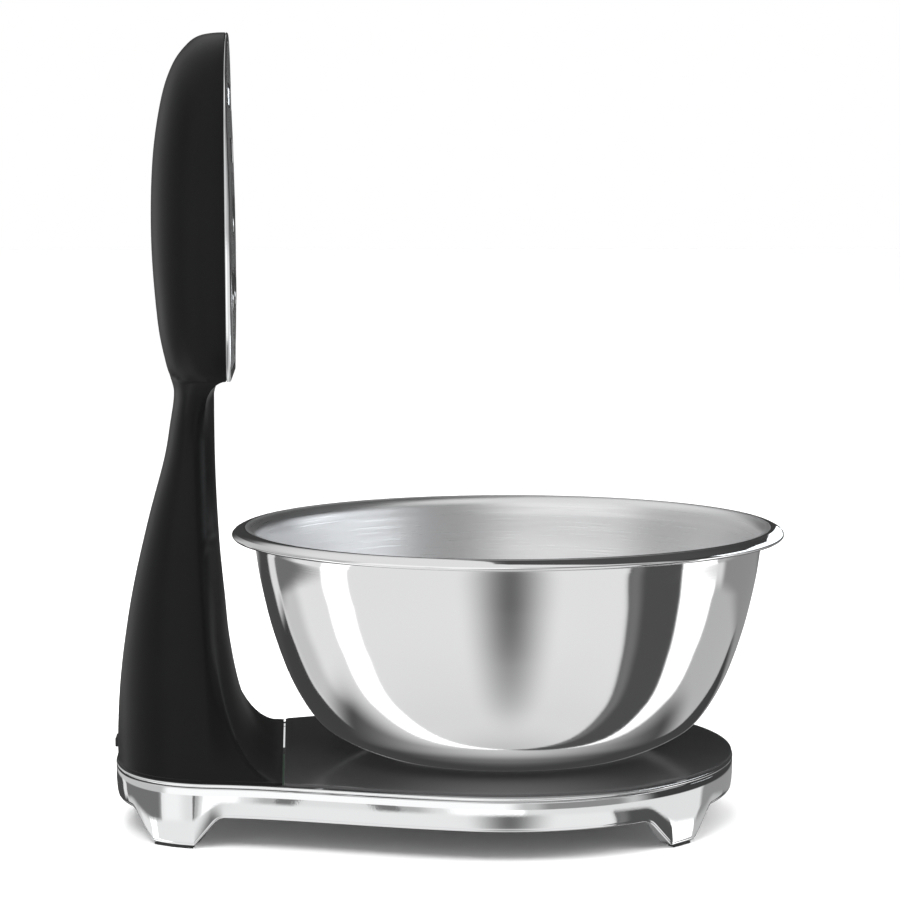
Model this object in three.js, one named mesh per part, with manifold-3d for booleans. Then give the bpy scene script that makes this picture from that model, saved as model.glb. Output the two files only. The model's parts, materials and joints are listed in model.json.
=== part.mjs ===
// Upright kitchen scale with a steel bowl, built as separate pieces. Millimetres, +Z up.
// +X is the front, the side the display looks at. Everything is placed from the bowl's axis,
// and the last lines move the whole so that its middle stands on the origin.
import * as THREE from "three";
import { mergeVertices } from "three/addons/utils/BufferGeometryUtils.js";
import Module from "manifold-3d";

const wasm = await Module();
wasm.setup();

// ---------------------------------------------------------------- driving sizes
const GAP = 0.3;                 // clearance kept between pieces that touch
const DECK_R = 90.8;             // round front of the base and of the platform
const REAR_X = -157.4;           // rearmost line of the base
const SEAM_X = -90.6;            // straight seam between column foot and platform
const PAD_H = 1.2;               // rubber pads stand this proud of the feet
const BAND_LOW = 12.4;           // lower edge of the chrome band between the feet
const BAND_TOP = 23.6;           // upper edge of the chrome band
const TRIM_LOW = 24.1;
const TRIM_TOP = 25.3;
const DECK_TOP = 26.8;           // upper face of the platform and of the column foot
const BAND_WALL = 2.6;
const FACE_X = -111.5;           // plane where the head's shell ends and its face begins
const HEAD_LOW = 177.8;
const HEAD_TOP = 312.8;
const HEAD_HALF = 46;            // half width of the head at its widest
const NECK_Z = 152;              // narrowest part of the column
const SHELL_WALL = 2.4;
const PLATFORM_TRAVEL = 0.3;
const BOWL_FOOT_Z = DECK_TOP + GAP;

const root = new THREE.Group();
root.name = "kitchen_scale";

// ---------------------------------------------------------------- finishes
const finish = (color, roughness, metalness) =>
  new THREE.MeshStandardMaterial({ color, roughness, metalness });
const CHROME = finish(0xdfe1e3, 0.12, 1);
const SATIN_STEEL = finish(0xc9cbcd, 0.32, 1);
const BLACK_SHELL = finish(0x141414, 0.5, 0);
const GLOSS_BLACK = finish(0x0b0b0c, 0.12, 0);
const DARK_GLASS = finish(0x050506, 0.05, 0);
const RUBBER = finish(0x1c1c1c, 0.85, 0);
const MOULDING = finish(0x202022, 0.6, 0);
const BOARD = finish(0x1f5a38, 0.55, 0);
const ALUMINIUM = finish(0xb9bcc0, 0.4, 1);
const ZINC_STEEL = finish(0xa8abaf, 0.35, 1);
const CELL_WRAP = finish(0x2c5d9b, 0.45, 0);
const CABLE = finish(0x2a2a2a, 0.6, 0);

// ---------------------------------------------------------------- solids
function toSolid(geometry) {
  let g = geometry.clone();
  for (const name of ["normal", "uv"]) g.deleteAttribute(name);
  g = mergeVertices(g, 1e-4);
  return new wasm.Manifold(new wasm.Mesh({
    numProp: 3,
    vertProperties: new Float32Array(g.attributes.position.array),
    triVerts: new Uint32Array(g.index.array),
  }));
}

function toGeometry(solid) {
  const mesh = solid.getMesh();
  const g = new THREE.BufferGeometry();
  g.setAttribute("position", new THREE.BufferAttribute(new Float32Array(mesh.vertProperties), 3));
  g.setIndex(new THREE.BufferAttribute(new Uint32Array(mesh.triVerts), 1));
  g.computeVertexNormals();
  return g;
}

const cut = (body, ...tools) =>
  toGeometry(tools.reduce((rest, tool) => rest.subtract(toSolid(tool)), toSolid(body)));
const join = (body, ...more) =>
  toGeometry(more.reduce((sum, piece) => sum.add(toSolid(piece)), toSolid(body)));
const common = (body, tool) => toGeometry(toSolid(body).intersect(toSolid(tool)));

function add(name, geometry, material) {
  const mesh = new THREE.Mesh(geometry, material);
  mesh.name = name;
  root.add(mesh);
  return mesh;
}

// a prism standing on z = low, of a closed list of points
function prism(points, low, high, holes = []) {
  const shape = new THREE.Shape(points);
  for (const hole of holes) shape.holes.push(new THREE.Path(hole));
  const g = new THREE.ExtrudeGeometry(shape, { depth: high - low, bevelEnabled: false });
  return g.translate(0, 0, low);
}

const box = (x0, y0, z0, x1, y1, z1) =>
  new THREE.BoxGeometry(x1 - x0, y1 - y0, z1 - z0)
    .translate((x0 + x1) / 2, (y0 + y1) / 2, (z0 + z1) / 2);
const post = (x, y, low, high, r, sides = 20) =>
  new THREE.CylinderGeometry(r, r, high - low, sides).rotateX(Math.PI / 2)
    .translate(x, y, (low + high) / 2);
// a round bar along X
const bar = (x0, x1, y, z, r, sides = 24) =>
  new THREE.CylinderGeometry(r, r, x1 - x0, sides).rotateZ(Math.PI / 2)
    .translate((x0 + x1) / 2, y, z);

// a closed skin through rings with equal numbers of points, capped at both ends
function loft(rings) {
  const n = rings[0].length;
  const vertices = rings.flat();
  const middle = ring => ring.reduce((sum, p) => sum.add(p), new THREE.Vector3()).divideScalar(n);
  const first = vertices.push(middle(rings[0])) - 1;
  const last = vertices.push(middle(rings[rings.length - 1])) - 1;
  const index = [];
  for (let r = 0; r + 1 < rings.length; r++) {
    for (let i = 0; i < n; i++) {
      const j = (i + 1) % n;
      const a = r * n + i;
      const b = r * n + j;
      index.push(a, b, b + n, a, b + n, a + n);
    }
  }
  const top = (rings.length - 1) * n;
  for (let i = 0; i < n; i++) {
    const j = (i + 1) % n;
    index.push(first, j, i);
    index.push(last, top + i, top + j);
  }
  const g = new THREE.BufferGeometry().setFromPoints(vertices);
  g.setIndex(index);
  return g;
}

// ---------------------------------------------------------------- outlines
const v2 = (x, y) => new THREE.Vector2(x, y);

// half of the pear outline: round front, waisted side, round rear
function halfOutline() {
  const sweep = THREE.MathUtils.degToRad(104);
  const side = v2(DECK_R * Math.cos(sweep), DECK_R * Math.sin(sweep));
  const rear = v2(-118, 58.3);
  const path = new THREE.CurvePath();
  path.add(new THREE.EllipseCurve(0, 0, DECK_R, DECK_R, 0, sweep, false));
  path.add(new THREE.CubicBezierCurve(side, v2(-60.7, 78.2), v2(-85.5, 63.9), rear));
  path.add(new THREE.CubicBezierCurve(rear, v2(-143.6, 53.9), v2(REAR_X, 34), v2(REAR_X, 0)));
  return path;
}

// the whole outline, pulled in by inset, anticlockwise from the front
function baseOutline(inset, perCurve = 12) {
  const half = [];
  for (const curve of halfOutline().curves) {
    for (let i = 0; i < perCurve; i++) {
      const t = i / perCurve;
      const p = curve.getPoint(t);
      const d = curve.getTangent(t);
      half.push(v2(p.x - d.y * inset, p.y + d.x * inset));
    }
  }
  half[0].y = 0;
  const rear = v2(REAR_X + inset, 0);
  const other = half.slice(1).reverse().map(p => v2(p.x, -p.y));
  return [...half, rear, ...other];
}

// what lies in front of (side = 1) or behind (side = -1) the line x = at
function clipped(points, at, side) {
  const out = [];
  points.forEach((p, i) => {
    const q = points[(i + 1) % points.length];
    const inside = side * (p.x - at) >= 0;
    const nextInside = side * (q.x - at) >= 0;
    if (inside) out.push(p);
    if (inside !== nextInside) out.push(p.clone().lerp(q, (at - p.x) / (q.x - p.x)));
  });
  return out;
}

// ---------------------------------------------------------------- base
const FOOT_WALL = 7.5;           // how thick the feet are
const SIDE_GAP = [-124, 57];     // between a rear and a front foot, at the floor
const FRONT_GAP = [-59, 59];
const REAR_GAP = [-45, 45];
const FRONT_GAP_FROM = 40;       // the front and rear openings are cut outwards from these
const REAR_GAP_FROM = -130;
const OUTSIDE = 120;             // beyond every part of the base
const HOLE_SIDES = 12;

// the opening between two feet: its sides lean in and end in a round corner under the band
function gapShape([low, high]) {
  const lean = 3;
  const round = 4.6;
  const ease = 0.8;              // how far the corner's control point keeps on leaning
  const s = new THREE.Shape();
  s.moveTo(low, PAD_H - 1);
  s.lineTo(high, PAD_H - 1);
  s.lineTo(high - lean, BAND_LOW - round);
  s.quadraticCurveTo(high - lean - ease, BAND_LOW, high - lean - round, BAND_LOW);
  s.lineTo(low + lean + round, BAND_LOW);
  s.quadraticCurveTo(low + lean + ease, BAND_LOW, low + lean, BAND_LOW - round);
  s.closePath();
  return s;
}

const extrude = (shape, depth, curveSegments = 8) =>
  new THREE.ExtrudeGeometry(shape, { depth, bevelEnabled: false, curveSegments });
// a shape drawn in XZ, pushed along Y
const alongY = (shape, y0, y1) => extrude(shape, y1 - y0).rotateX(Math.PI / 2).translate(0, y1, 0);
// a shape drawn in YZ, pushed along X
const alongX = (shape, x0, x1) =>
  extrude(shape, x1 - x0).rotateX(Math.PI / 2).rotateZ(Math.PI / 2).translate(x0, 0, 0);

const LUGS = [[70, 40], [70, -40], [-30, 78], [-30, -78]];
const LUG_R = 4.4;
const COLUMN_BOSSES = [[-101, 40], [-101, -40], [-134, 39.5], [-134, -39.5]];
const REAR_BOSSES = COLUMN_BOSSES.slice(2);
const SCREW_R = 1.5;
const COVER_LOW = BAND_LOW + 0.4; // the bottom cover lies this far inside the band
const COVER_TOP = COVER_LOW + 1.8;
const FLOOR_TOP = COVER_TOP + GAP;
const screwHole = ([x, y], low, high) => post(x, y, low, high, SCREW_R + GAP, HOLE_SIDES);

function baseFrame() {
  const band = prism(baseOutline(0), PAD_H, BAND_TOP, [baseOutline(BAND_WALL).reverse()]);
  const thick = prism(baseOutline(0), PAD_H, BAND_LOW, [baseOutline(FOOT_WALL).reverse()]);
  const gaps = [
    alongY(gapShape(SIDE_GAP), -OUTSIDE, OUTSIDE),
    alongX(gapShape(FRONT_GAP), FRONT_GAP_FROM, OUTSIDE),
    alongX(gapShape(REAR_GAP), -2 * OUTSIDE, REAR_GAP_FROM),
  ];
  const inside = prism(baseOutline(BAND_WALL - 0.2), 0, DECK_TOP);
  const lugs = LUGS.map(([x, y]) =>
    common(post(x, y, FLOOR_TOP, BAND_TOP - 1, LUG_R), inside));
  const arms = LUGS.map(([x, y]) => {
    const reach = new THREE.Vector2(x, y).normalize();
    return common(box(-LUG_R + 1, -LUG_R + 1, FLOOR_TOP, LUG_R * 3.4, LUG_R - 1, BAND_TOP - 1)
      .rotateZ(Math.atan2(reach.y, reach.x)).translate(x, y, 0), inside);
  });
  const holes = LUGS.map(place => screwHole(place, FLOOR_TOP - 1, BAND_TOP - 2.5));
  return cut(join(cut(join(band, thick), ...gaps), ...lugs, ...arms), ...holes);
}

// the strip of rubber under one foot, given by the corner of the plan that it fills
function footPad(sideX, sideY) {
  const margin = 1.3;
  const strip = prism(baseOutline(margin), 0, PAD_H - GAP,
    [baseOutline(FOOT_WALL - margin).reverse()]);
  const x = sideX > 0 ? [SIDE_GAP[1] + margin, OUTSIDE] : [-2 * OUTSIDE, SIDE_GAP[0] - margin];
  const near = (sideX > 0 ? FRONT_GAP[1] : REAR_GAP[1]) + margin;
  const y = sideY > 0 ? [near, OUTSIDE] : [-OUTSIDE, -near];
  return common(strip, box(x[0], y[0], -1, x[1], y[1], PAD_H));
}

function trimRing() {
  const edge = 0.1;
  const width = 4.4;
  return prism(baseOutline(edge), TRIM_LOW, TRIM_TOP, [baseOutline(edge + width).reverse()]);
}

function bottomCover() {
  const plate = prism(baseOutline(BAND_WALL + GAP), COVER_LOW, COVER_TOP);
  const screws = [...LUGS, ...COLUMN_BOSSES, ...CELL_FIXED];
  const holes = screws.map(place => screwHole(place, COVER_LOW - 1, COVER_TOP + 1));
  return cut(plate, ...holes);
}

// a pan-head screw pointing up, its head under z = seat
function screwUp([x, y], seat, length) {
  const headR = 2.9;
  const headH = 1.1;
  const profile = [
    v2(0, -headH), v2(headR * 0.8, -headH), v2(headR, -headH * 0.4), v2(headR, 0),
    v2(SCREW_R, 0), v2(SCREW_R, length), v2(0, length),
  ];
  return new THREE.LatheGeometry(profile, 10).rotateX(Math.PI / 2).translate(x, y, seat - GAP);
}

// ---------------------------------------------------------------- weighing gear
const CELL_LENGTH = 66;
const CELL_WIDTH = 13;
const CELL_LOW = FLOOR_TOP + 1.4;
const CELL_TOP = CELL_LOW + 5.6;
const CELL_FIXED = [[-27, 0], [-19, 0]];
const CELL_FREE = [[19, 0], [27, 0]];
const SPIDER_LOW = CELL_TOP + 1.5;
const SPIDER_TOP = SPIDER_LOW + 1.2;
const PLATE_LIP = TRIM_TOP + GAP + PLATFORM_TRAVEL;

function loadCell() {
  const half = CELL_LENGTH / 2;
  const mid = (CELL_LOW + CELL_TOP) / 2;
  const reach = 6;
  const r = 2;
  const bean = new THREE.Shape();
  bean.absarc(-reach, mid, r, Math.PI / 2, Math.PI * 1.5);
  bean.absarc(reach, mid, r, -Math.PI / 2, Math.PI / 2);
  bean.closePath();
  const beam = box(-half, -CELL_WIDTH / 2, CELL_LOW, half, CELL_WIDTH / 2, CELL_TOP);
  const holes = [...CELL_FIXED, ...CELL_FREE].map(place =>
    screwHole(place, CELL_LOW - 1, CELL_TOP + 1));
  return cut(beam, alongY(bean, -CELL_WIDTH, CELL_WIDTH), ...holes);
}

function cellSpacer(places, low, high) {
  const x = places.map(([px]) => px);
  const reach = 5;
  const block = box(Math.min(...x) - reach, -CELL_WIDTH / 2, low,
    Math.max(...x) + reach, CELL_WIDTH / 2, high);
  return cut(block, ...places.map(place => screwHole(place, low - 1, high + 1)));
}

function platformSpider() {
  const plateR = 62;
  const windowR = 13;
  const windowRing = 40;
  const ring = [];
  const sides = 48;
  for (let i = 0; i < sides; i++) {
    const a = (i / sides) * 2 * Math.PI;
    ring.push(v2(plateR * Math.cos(a), plateR * Math.sin(a)));
  }
  const plate = prism(ring, SPIDER_LOW, SPIDER_TOP);
  const windows = [45, 135, 225, 315].map(deg => {
    const a = THREE.MathUtils.degToRad(deg);
    return post(windowRing * Math.cos(a), windowRing * Math.sin(a), SPIDER_LOW - 1, SPIDER_TOP + 1,
      windowR, 24);
  });
  const holes = CELL_FREE.map(place => screwHole(place, SPIDER_LOW - 1, SPIDER_TOP + 1));
  return cut(plate, ...windows, ...holes);
}

// a post that the spider meets before the load cell is bent too far
const overloadStop = () => post(46, 0, FLOOR_TOP, SPIDER_LOW - 2 * PLATFORM_TRAVEL, 3.2);

// the edge of the platform and of the column foot: a straight side and a small chamfer
const EDGE_INSET = 0.4;
const EDGE_CHAMFER = 0.35;
const SEAM_HALF = 0.35;          // half of the seam's width
const CORE_INSET = 6.5;          // the part of the platform that drops inside the trim ring

function platformCover() {
  const at = SEAM_X + SEAM_HALF;
  const skin = clipped(baseOutline(EDGE_INSET), at, 1);
  const top = clipped(baseOutline(EDGE_INSET + EDGE_CHAMFER), at + EDGE_CHAMFER, 1);
  const core = clipped(baseOutline(CORE_INSET), at + CORE_INSET - 0.5, 1);
  const slab = prism(skin, PLATE_LIP, DECK_TOP - EDGE_CHAMFER);
  const upper = prism(top, DECK_TOP - EDGE_CHAMFER - 0.1, DECK_TOP);
  const lower = prism(core, SPIDER_TOP + GAP, PLATE_LIP + 0.1);
  return join(slab, upper, lower);
}

// ---------------------------------------------------------------- bowl
const LIP_R = 110.7;
const LIP_LOW = 113.3;
const RIM_TOP = 117.3;
const BOWL_WALL = 0.9;

// the outer wall from the foot to the neck of the lip, bottom first
function bowlWall() {
  const foot = 46;
  return new THREE.SplineCurve([
    v2(foot, BOWL_FOOT_Z), v2(57, 28.5), v2(70, 34.6), v2(78.5, 41.6), v2(87.5, 56.6),
    v2(94.7, 76.3), v2(99.4, 95.8), v2(101.6, 110.5),
  ]).getPoints(11);
}

// the bowl is drawn as one thin section: up the outside, round the lip, down the inside
function bowl() {
  const outside = bowlWall();
  const lipOut = [
    v2(102.6, LIP_LOW + 0.1), v2(104.4, 115.3), v2(107.4, 114.6), v2(109.6, LIP_LOW + 0.1),
    v2(LIP_R, LIP_LOW),
  ];
  const lipIn = [
    v2(LIP_R, LIP_LOW + 1), v2(109.3, 115.8), v2(107.2, 116.9), v2(105.2, RIM_TOP),
    v2(103.0, 116.2), v2(101.4, 113.9),
  ];
  const inside = outside.map((p, i) => {
    const a = outside[Math.max(i - 1, 0)];
    const b = outside[Math.min(i + 1, outside.length - 1)];
    const d = b.clone().sub(a).normalize();
    return v2(p.x - d.y * BOWL_WALL, p.y + d.x * BOWL_WALL);
  }).reverse();
  const profile = [v2(0, BOWL_FOOT_Z), ...outside, ...lipOut, ...lipIn, ...inside,
    v2(0, BOWL_FOOT_Z + BOWL_WALL)];
  return new THREE.LatheGeometry(profile, 56).rotateX(Math.PI / 2);
}

// ---------------------------------------------------------------- column and head
// a size that changes with height, through [height, size] knots
function alongHeight(knots) {
  const curve = new THREE.SplineCurve(knots.map(([z, value]) => v2(z, value)));
  const points = curve.getPoints(12 * knots.length);
  return z => {
    const k = Math.max(1, points.findIndex(p => p.x >= z));
    if (z <= points[0].x) return points[0].y;
    if (z >= points[points.length - 1].x) return points[points.length - 1].y;
    const [a, b] = [points[k - 1], points[k]];
    return a.y + (b.y - a.y) * (z - a.x) / (b.x - a.x);
  };
}

const backX = alongHeight([
  [26.8, -157.3], [60, -155.1], [90, -150.8], [120, -144.0], [145, -137.2], [160, -134.5],
  [168, -133.2], [173, -133.0], [178, -134.3], [184, -136.1], [200, -139.0],
  [231, -141.1], [262, -140.3], [286, -136.8], [300, -132.2], [308, -126.5], [311.5, -121.5],
  [HEAD_TOP, -114.5],
]);
const frontX = alongHeight([
  [26.8, -111.0], [60, -111.6], [85, -113.4], [110, -115.6], [140, -117.0], [168, -117.3],
  [171, -117.2], [173.5, -116.5], [175.5, -115.3], [176.8, -114.0], [177.5, -112.8],
  [HEAD_LOW, FACE_X],
]);
const widestX = alongHeight([[26.8, -118.5], [70, -121], [120, -124], [168, -125.4]]);
const columnHalf = alongHeight([
  [26.8, 57], [45, 51.5], [70, 43], [95, 35.5], [120, 29], [140, 25.4], [NECK_Z, 24.8],
  [162, 26.4], [170, 30], [175, 33.6], [HEAD_LOW, 36.5],
]);
const HEAD_ROUND_Z = HEAD_TOP - HEAD_HALF;      // where the round top of the head begins
const headSide = alongHeight([
  [HEAD_LOW, 36.5], [180, 38.2], [184, 39.9], [192, 41.4], [215, 43.8], [240, 45.6],
  [HEAD_ROUND_Z, HEAD_HALF],
]);

// half width of the head's outline pulled in by inset
function headHalf(z, inset = 0) {
  const up = z - HEAD_ROUND_Z;
  if (up > 0) return Math.sqrt(Math.max((HEAD_HALF - inset) ** 2 - up ** 2, 0.2));
  return headSide(Math.max(z - inset, HEAD_LOW)) - inset;
}

const DECK_MIDDLE_X = -124;
const deckCorner = Math.atan2(64.1, SEAM_X - DECK_MIDDLE_X);
const FRONT_STEPS = 8;
const SIDE_STEPS = 11;
const RING_ANGLES = [];
for (let i = 0; i <= FRONT_STEPS; i++) RING_ANGLES.push(deckCorner * (2 * i / FRONT_STEPS - 1));
for (let i = 1; i < 2 * SIDE_STEPS; i++) {
  RING_ANGLES.push(deckCorner + (2 * Math.PI - 2 * deckCorner) * i / (2 * SIDE_STEPS));
}

const bent = (value, power) => Math.sign(value) * Math.abs(value) ** power;

// one level of the column: a section that is widest towards its front low down
function columnRing(z, inset) {
  const middle = widestX(z);
  const ahead = frontX(z) - middle - inset;
  const behind = middle - backX(z) - inset;
  return RING_ANGLES.map(a => {
    const c = bent(Math.cos(a), 0.92);
    const side = (columnHalf(z) - inset) * bent(Math.sin(a), 0.92);
    return new THREE.Vector3(middle + (c > 0 ? ahead : behind) * c, side, z);
  });
}

// one level of the head: flat front, boat-shaped behind
function headRing(z, half, back, front) {
  return RING_ANGLES.map(a => {
    const turn = a > Math.PI ? a - 2 * Math.PI : a;
    if (Math.abs(turn) <= deckCorner + 1e-9) return new THREE.Vector3(front, half * turn / deckCorner, z);
    const u = (Math.abs(turn) - deckCorner) / (Math.PI - deckCorner) * Math.PI / 2;
    return new THREE.Vector3(
      front - (front - back) * Math.sin(u) ** 0.84, Math.sign(turn) * half * Math.cos(u) ** 0.84, z);
  });
}

const mixRings = (a, b, t) => a.map((p, i) => p.clone().lerp(b[i], t));

// one level between the neck and the head, changing from one section into the other
function shoulderRing(z) {
  const t = ((z - NECK_Z) / (HEAD_LOW - NECK_Z)) ** 1.8;
  return mixRings(columnRing(z, 0), headRing(z, columnHalf(z), backX(z), frontX(z)), t);
}

// the flat foot of the column: the rear of the base's outline, cut off at the seam
function deckRing(z, inset) {
  const edge = clipped(baseOutline(EDGE_INSET + inset), SEAM_X - SEAM_HALF - inset, -1);
  return RING_ANGLES.map(a => {
    const ray = v2(Math.cos(a), Math.sin(a));
    let reach = 0;
    edge.forEach((p, i) => {
      const q = edge[(i + 1) % edge.length];
      const d = q.clone().sub(p);
      const from = v2(p.x - DECK_MIDDLE_X, p.y);
      const cross = ray.x * d.y - ray.y * d.x;
      if (Math.abs(cross) < 1e-9) return;
      const along = (from.x * d.y - from.y * d.x) / cross;
      const on = (from.x * ray.y - from.y * ray.x) / cross;
      if (along > 0 && on >= -1e-6 && on <= 1 + 1e-6) reach = Math.max(reach, along);
    });
    return new THREE.Vector3(DECK_MIDDLE_X + ray.x * reach, ray.y * reach, z);
  });
}

const FLARE_H = 50;              // height over which the foot flares out into the deck

function shellSkin() {
  const rings = [
    deckRing(TRIM_TOP + GAP, 0),
    deckRing(DECK_TOP - EDGE_CHAMFER, 0),
    deckRing(DECK_TOP, EDGE_CHAMFER),
  ];
  const flareSteps = 9;
  for (let i = 1; i <= flareSteps; i++) {
    const t = (i / flareSteps) ** 2;
    const z = DECK_TOP + FLARE_H * t;
    rings.push(mixRings(columnRing(z, 0), deckRing(z, EDGE_CHAMFER), (1 - Math.sqrt(t)) ** 1.6));
  }
  for (const z of [92, 107, 122, 137, NECK_Z]) rings.push(columnRing(z, 0));
  for (const z of [160, 166, 170, 173, 175.2, 176.7, 177.5]) rings.push(shoulderRing(z));
  for (const z of [HEAD_LOW, 179.4, 183, 190, 201, 215, 231, 247, 262, 274, 284, 292, 299, 304.5,
    308.5, 311, 312.4, HEAD_TOP]) {
    rings.push(headRing(z, headHalf(z), backX(z), FACE_X));
  }
  return loft(rings);
}

function shellCavity() {
  const w = SHELL_WALL;
  const rings = [20, 45, 70, 95, 120, 145, 160, 170, 176.2].map(z => columnRing(Math.min(z, 170), w)
    .map(p => p.setZ(z)));
  for (const z of [180.6, 188, 206, 231, 258, 276, 290, 299, 304.5, 308]) {
    rings.push(headRing(z, headHalf(z, w), backX(z + w * 0.7) + w * 0.8, FACE_X + 2));
  }
  return loft(rings);
}

const PORT_Z = 31.5;
const PORT_HALF = [5.4, 1.8];    // half width and half height of the charging port's cover
const PORT_OUT_X = -157.75;
const PORT_IN_X = -156.6;
const SOCKET_HALF = [4.5, 1.6];

function columnShell() {
  const bosses = COLUMN_BOSSES.map(([x, y]) => post(x, y, FLOOR_TOP, TRIM_TOP + 1.4, LUG_R));
  const holes = COLUMN_BOSSES.map(place => screwHole(place, FLOOR_TOP - 1, TRIM_TOP - 1));
  const [y, z] = PORT_HALF;
  const recess = box(REAR_X - 5, -y - GAP, PORT_Z - z - GAP, PORT_IN_X + GAP, y + GAP, PORT_Z + z + GAP);
  const hole = box(REAR_X - 5, -SOCKET_HALF[0] - 0.4, PORT_Z - SOCKET_HALF[1] - 0.4,
    REAR_X + 8, SOCKET_HALF[0] + 0.4, PORT_Z + SOCKET_HALF[1] + 0.4);
  const webHalf = 1.2;
  const webLength = 11;
  const stubTop = TRIM_TOP + 8;
  const webs = REAR_BOSSES.map(([bx, by]) =>
    box(bx - webLength, by - webHalf, TRIM_TOP + 0.8, bx, by + webHalf, stubTop));
  const stubs = REAR_BOSSES.map(([bx, by]) => post(bx, by, TRIM_TOP, stubTop, LUG_R));
  const hollow = cut(shellSkin(), shellCavity(), recess, hole);
  return cut(join(hollow, ...bosses, ...stubs, ...webs), ...holes);
}

// ---------------------------------------------------------------- face of the head
const BEZEL_W = 3.4;
const DISC_Z = 221.5;
const DISC_R = 37;
const DISPLAY = { half: 25, low: 283.2, high: 292.8 };
const TIMER = { half: 19, low: 262.2, high: 271.8 };
const BUTTON_R = 7.6;
const BUTTON_RING = 19.5;
const BUTTON_DEGREES = [90, 210, 330];
const BUTTON_FRONT = -108.5;
const BUTTON_BACK = -111.0;
const DISC_BACK = -110.6;
const DISC_FRONT = -108.85;
const WINDOW_BACK = -111.3;
const WINDOW_FRONT = -110.5;
const MODULE_BACK = -113;
const MODULE_FRONT = -111.6;
const CARRIER_BACK = -115;
const CARRIER_FRONT = -113.3;
const BOARD_BACK = -117.2;
const BOARD_FRONT = -115.6;

// the head's outline seen from the front, pulled in by inset: [y, z] points, anticlockwise
function faceOutline(inset) {
  const right = [];
  const low = HEAD_LOW + inset;
  for (const z of [0, 1.6, 5.6, 14.6, 40, 65]) {
    right.push(v2(headHalf(low + z, inset), low + z));
  }
  const r = HEAD_HALF - inset;
  const steps = 11;
  for (let i = 0; i <= steps; i++) {
    const a = (i / steps) * Math.PI / 2;
    right.push(v2(r * Math.cos(a), HEAD_ROUND_Z + r * Math.sin(a)));
  }
  right[right.length - 1].x = 0;
  const left = right.slice(0, -1).reverse().map(p => v2(-p.x, p.y));
  return [...right, ...left];
}

// the front of the face swells out a little where the buttons are
const faceFront = alongHeight([
  [HEAD_LOW, -109.45], [190, -109.37], [214, -109.2], [238, -109.2], [254, -109.5], [270, -109.9],
  [286, -110.3], [HEAD_TOP, -110.3],
]);
const faceRing = (inset, x) => faceOutline(inset).map(p => new THREE.Vector3(x, p.x, p.y));
const frontRing = (inset, proud) =>
  faceOutline(inset).map(p => new THREE.Vector3(faceFront(p.y) + proud, p.x, p.y));

function slot({ half, low, high }, grow) {
  const s = new THREE.Shape();
  const r = 2.4 + grow;
  const [x0, x1, y0, y1] = [-half - grow, half + grow, low - grow, high + grow];
  s.absarc(x1 - r, y0 + r, r, -Math.PI / 2, 0);
  s.absarc(x1 - r, y1 - r, r, 0, Math.PI / 2);
  s.absarc(x0 + r, y1 - r, r, Math.PI / 2, Math.PI);
  s.absarc(x0 + r, y0 + r, r, Math.PI, 1.5 * Math.PI);
  s.closePath();
  return s;
}

const discAt = (x0, x1, r, sides = 48) => bar(x0, x1, 0, DISC_Z, r, sides);
const buttonPlaces = BUTTON_DEGREES.map(deg => {
  const a = THREE.MathUtils.degToRad(deg);
  return [BUTTON_RING * Math.cos(a), DISC_Z + BUTTON_RING * Math.sin(a)];
});

function faceBezel() {
  const skin = loft([
    faceRing(0, FACE_X + GAP), frontRing(0, -0.6), frontRing(0.2, -0.2), frontRing(0.8, 0),
    frontRing(BEZEL_W + 1, 0.1), frontRing(16, 0.1),
  ]);
  const inner = loft([faceRing(BEZEL_W, FACE_X - 1), faceRing(BEZEL_W, DISC_FRONT + 1)]);
  return cut(skin, inner);
}

function facePlate() {
  const inset = BEZEL_W + GAP;
  const dome = loft([
    faceRing(inset, FACE_X + GAP), frontRing(inset, -0.4), frontRing(inset + 0.4, -0.1),
    frontRing(inset + 4, 0.2), frontRing(inset + 10, 0.38), frontRing(inset + 24, 0.45),
  ]);
  return cut(dome, alongX(slot(DISPLAY, GAP), FACE_X - 1, FACE_X + 6),
    alongX(slot(TIMER, GAP), FACE_X - 1, FACE_X + 6), discAt(FACE_X - 1, FACE_X + 6, DISC_R + GAP));
}

// the raised round panel that carries the buttons, with a rounded rim
function controlDisc() {
  const back = DISC_BACK;
  const front = DISC_FRONT;
  const floor = front - 0.2;
  const profile = [
    v2(0, back), v2(DISC_R, back), v2(DISC_R, front - 0.8), v2(DISC_R - 0.3, front - 0.25),
    v2(DISC_R - 1, front), v2(DISC_R - 2.4, floor), v2(0, floor),
  ];
  const disc = new THREE.LatheGeometry(profile, 48).rotateZ(-Math.PI / 2).translate(0, 0, DISC_Z);
  return cut(disc, ...buttonPlaces.map(([y, z]) => bar(back - 1, front + 1, y, z, BUTTON_R + GAP, 24)));
}

function button([y, z]) {
  const profile = [
    v2(0, BUTTON_BACK), v2(BUTTON_R, BUTTON_BACK), v2(BUTTON_R, BUTTON_FRONT - 0.6),
    v2(BUTTON_R - 0.6, BUTTON_FRONT),
    v2(BUTTON_R * 0.55, BUTTON_FRONT - 0.15), v2(0, BUTTON_FRONT - 0.25),
  ];
  return new THREE.LatheGeometry(profile, 24).rotateZ(-Math.PI / 2).translate(0, y, z);
}

const windowGlass = place => alongX(slot(place, 0), WINDOW_BACK, WINDOW_FRONT);
// the display behind a window, a little larger than its glass
const displayModule = ({ half, low, high }) =>
  box(MODULE_BACK, -half - 2, low - 1.8, MODULE_FRONT, half + 2, high + 1.8);
const buttonMembrane = () => discAt(-112.9, -111.9, DISC_R - 5, 40);
const faceCarrier = () => loft([faceRing(5, CARRIER_BACK), faceRing(5, CARRIER_FRONT)]);
const displayBoard = () => box(BOARD_BACK, -33, 190, BOARD_FRONT, 33, HEAD_TOP - 20.8);
const buzzer = () => bar(BOARD_BACK - 3, BOARD_BACK - GAP, 16, 246, 8, 24);

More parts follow.
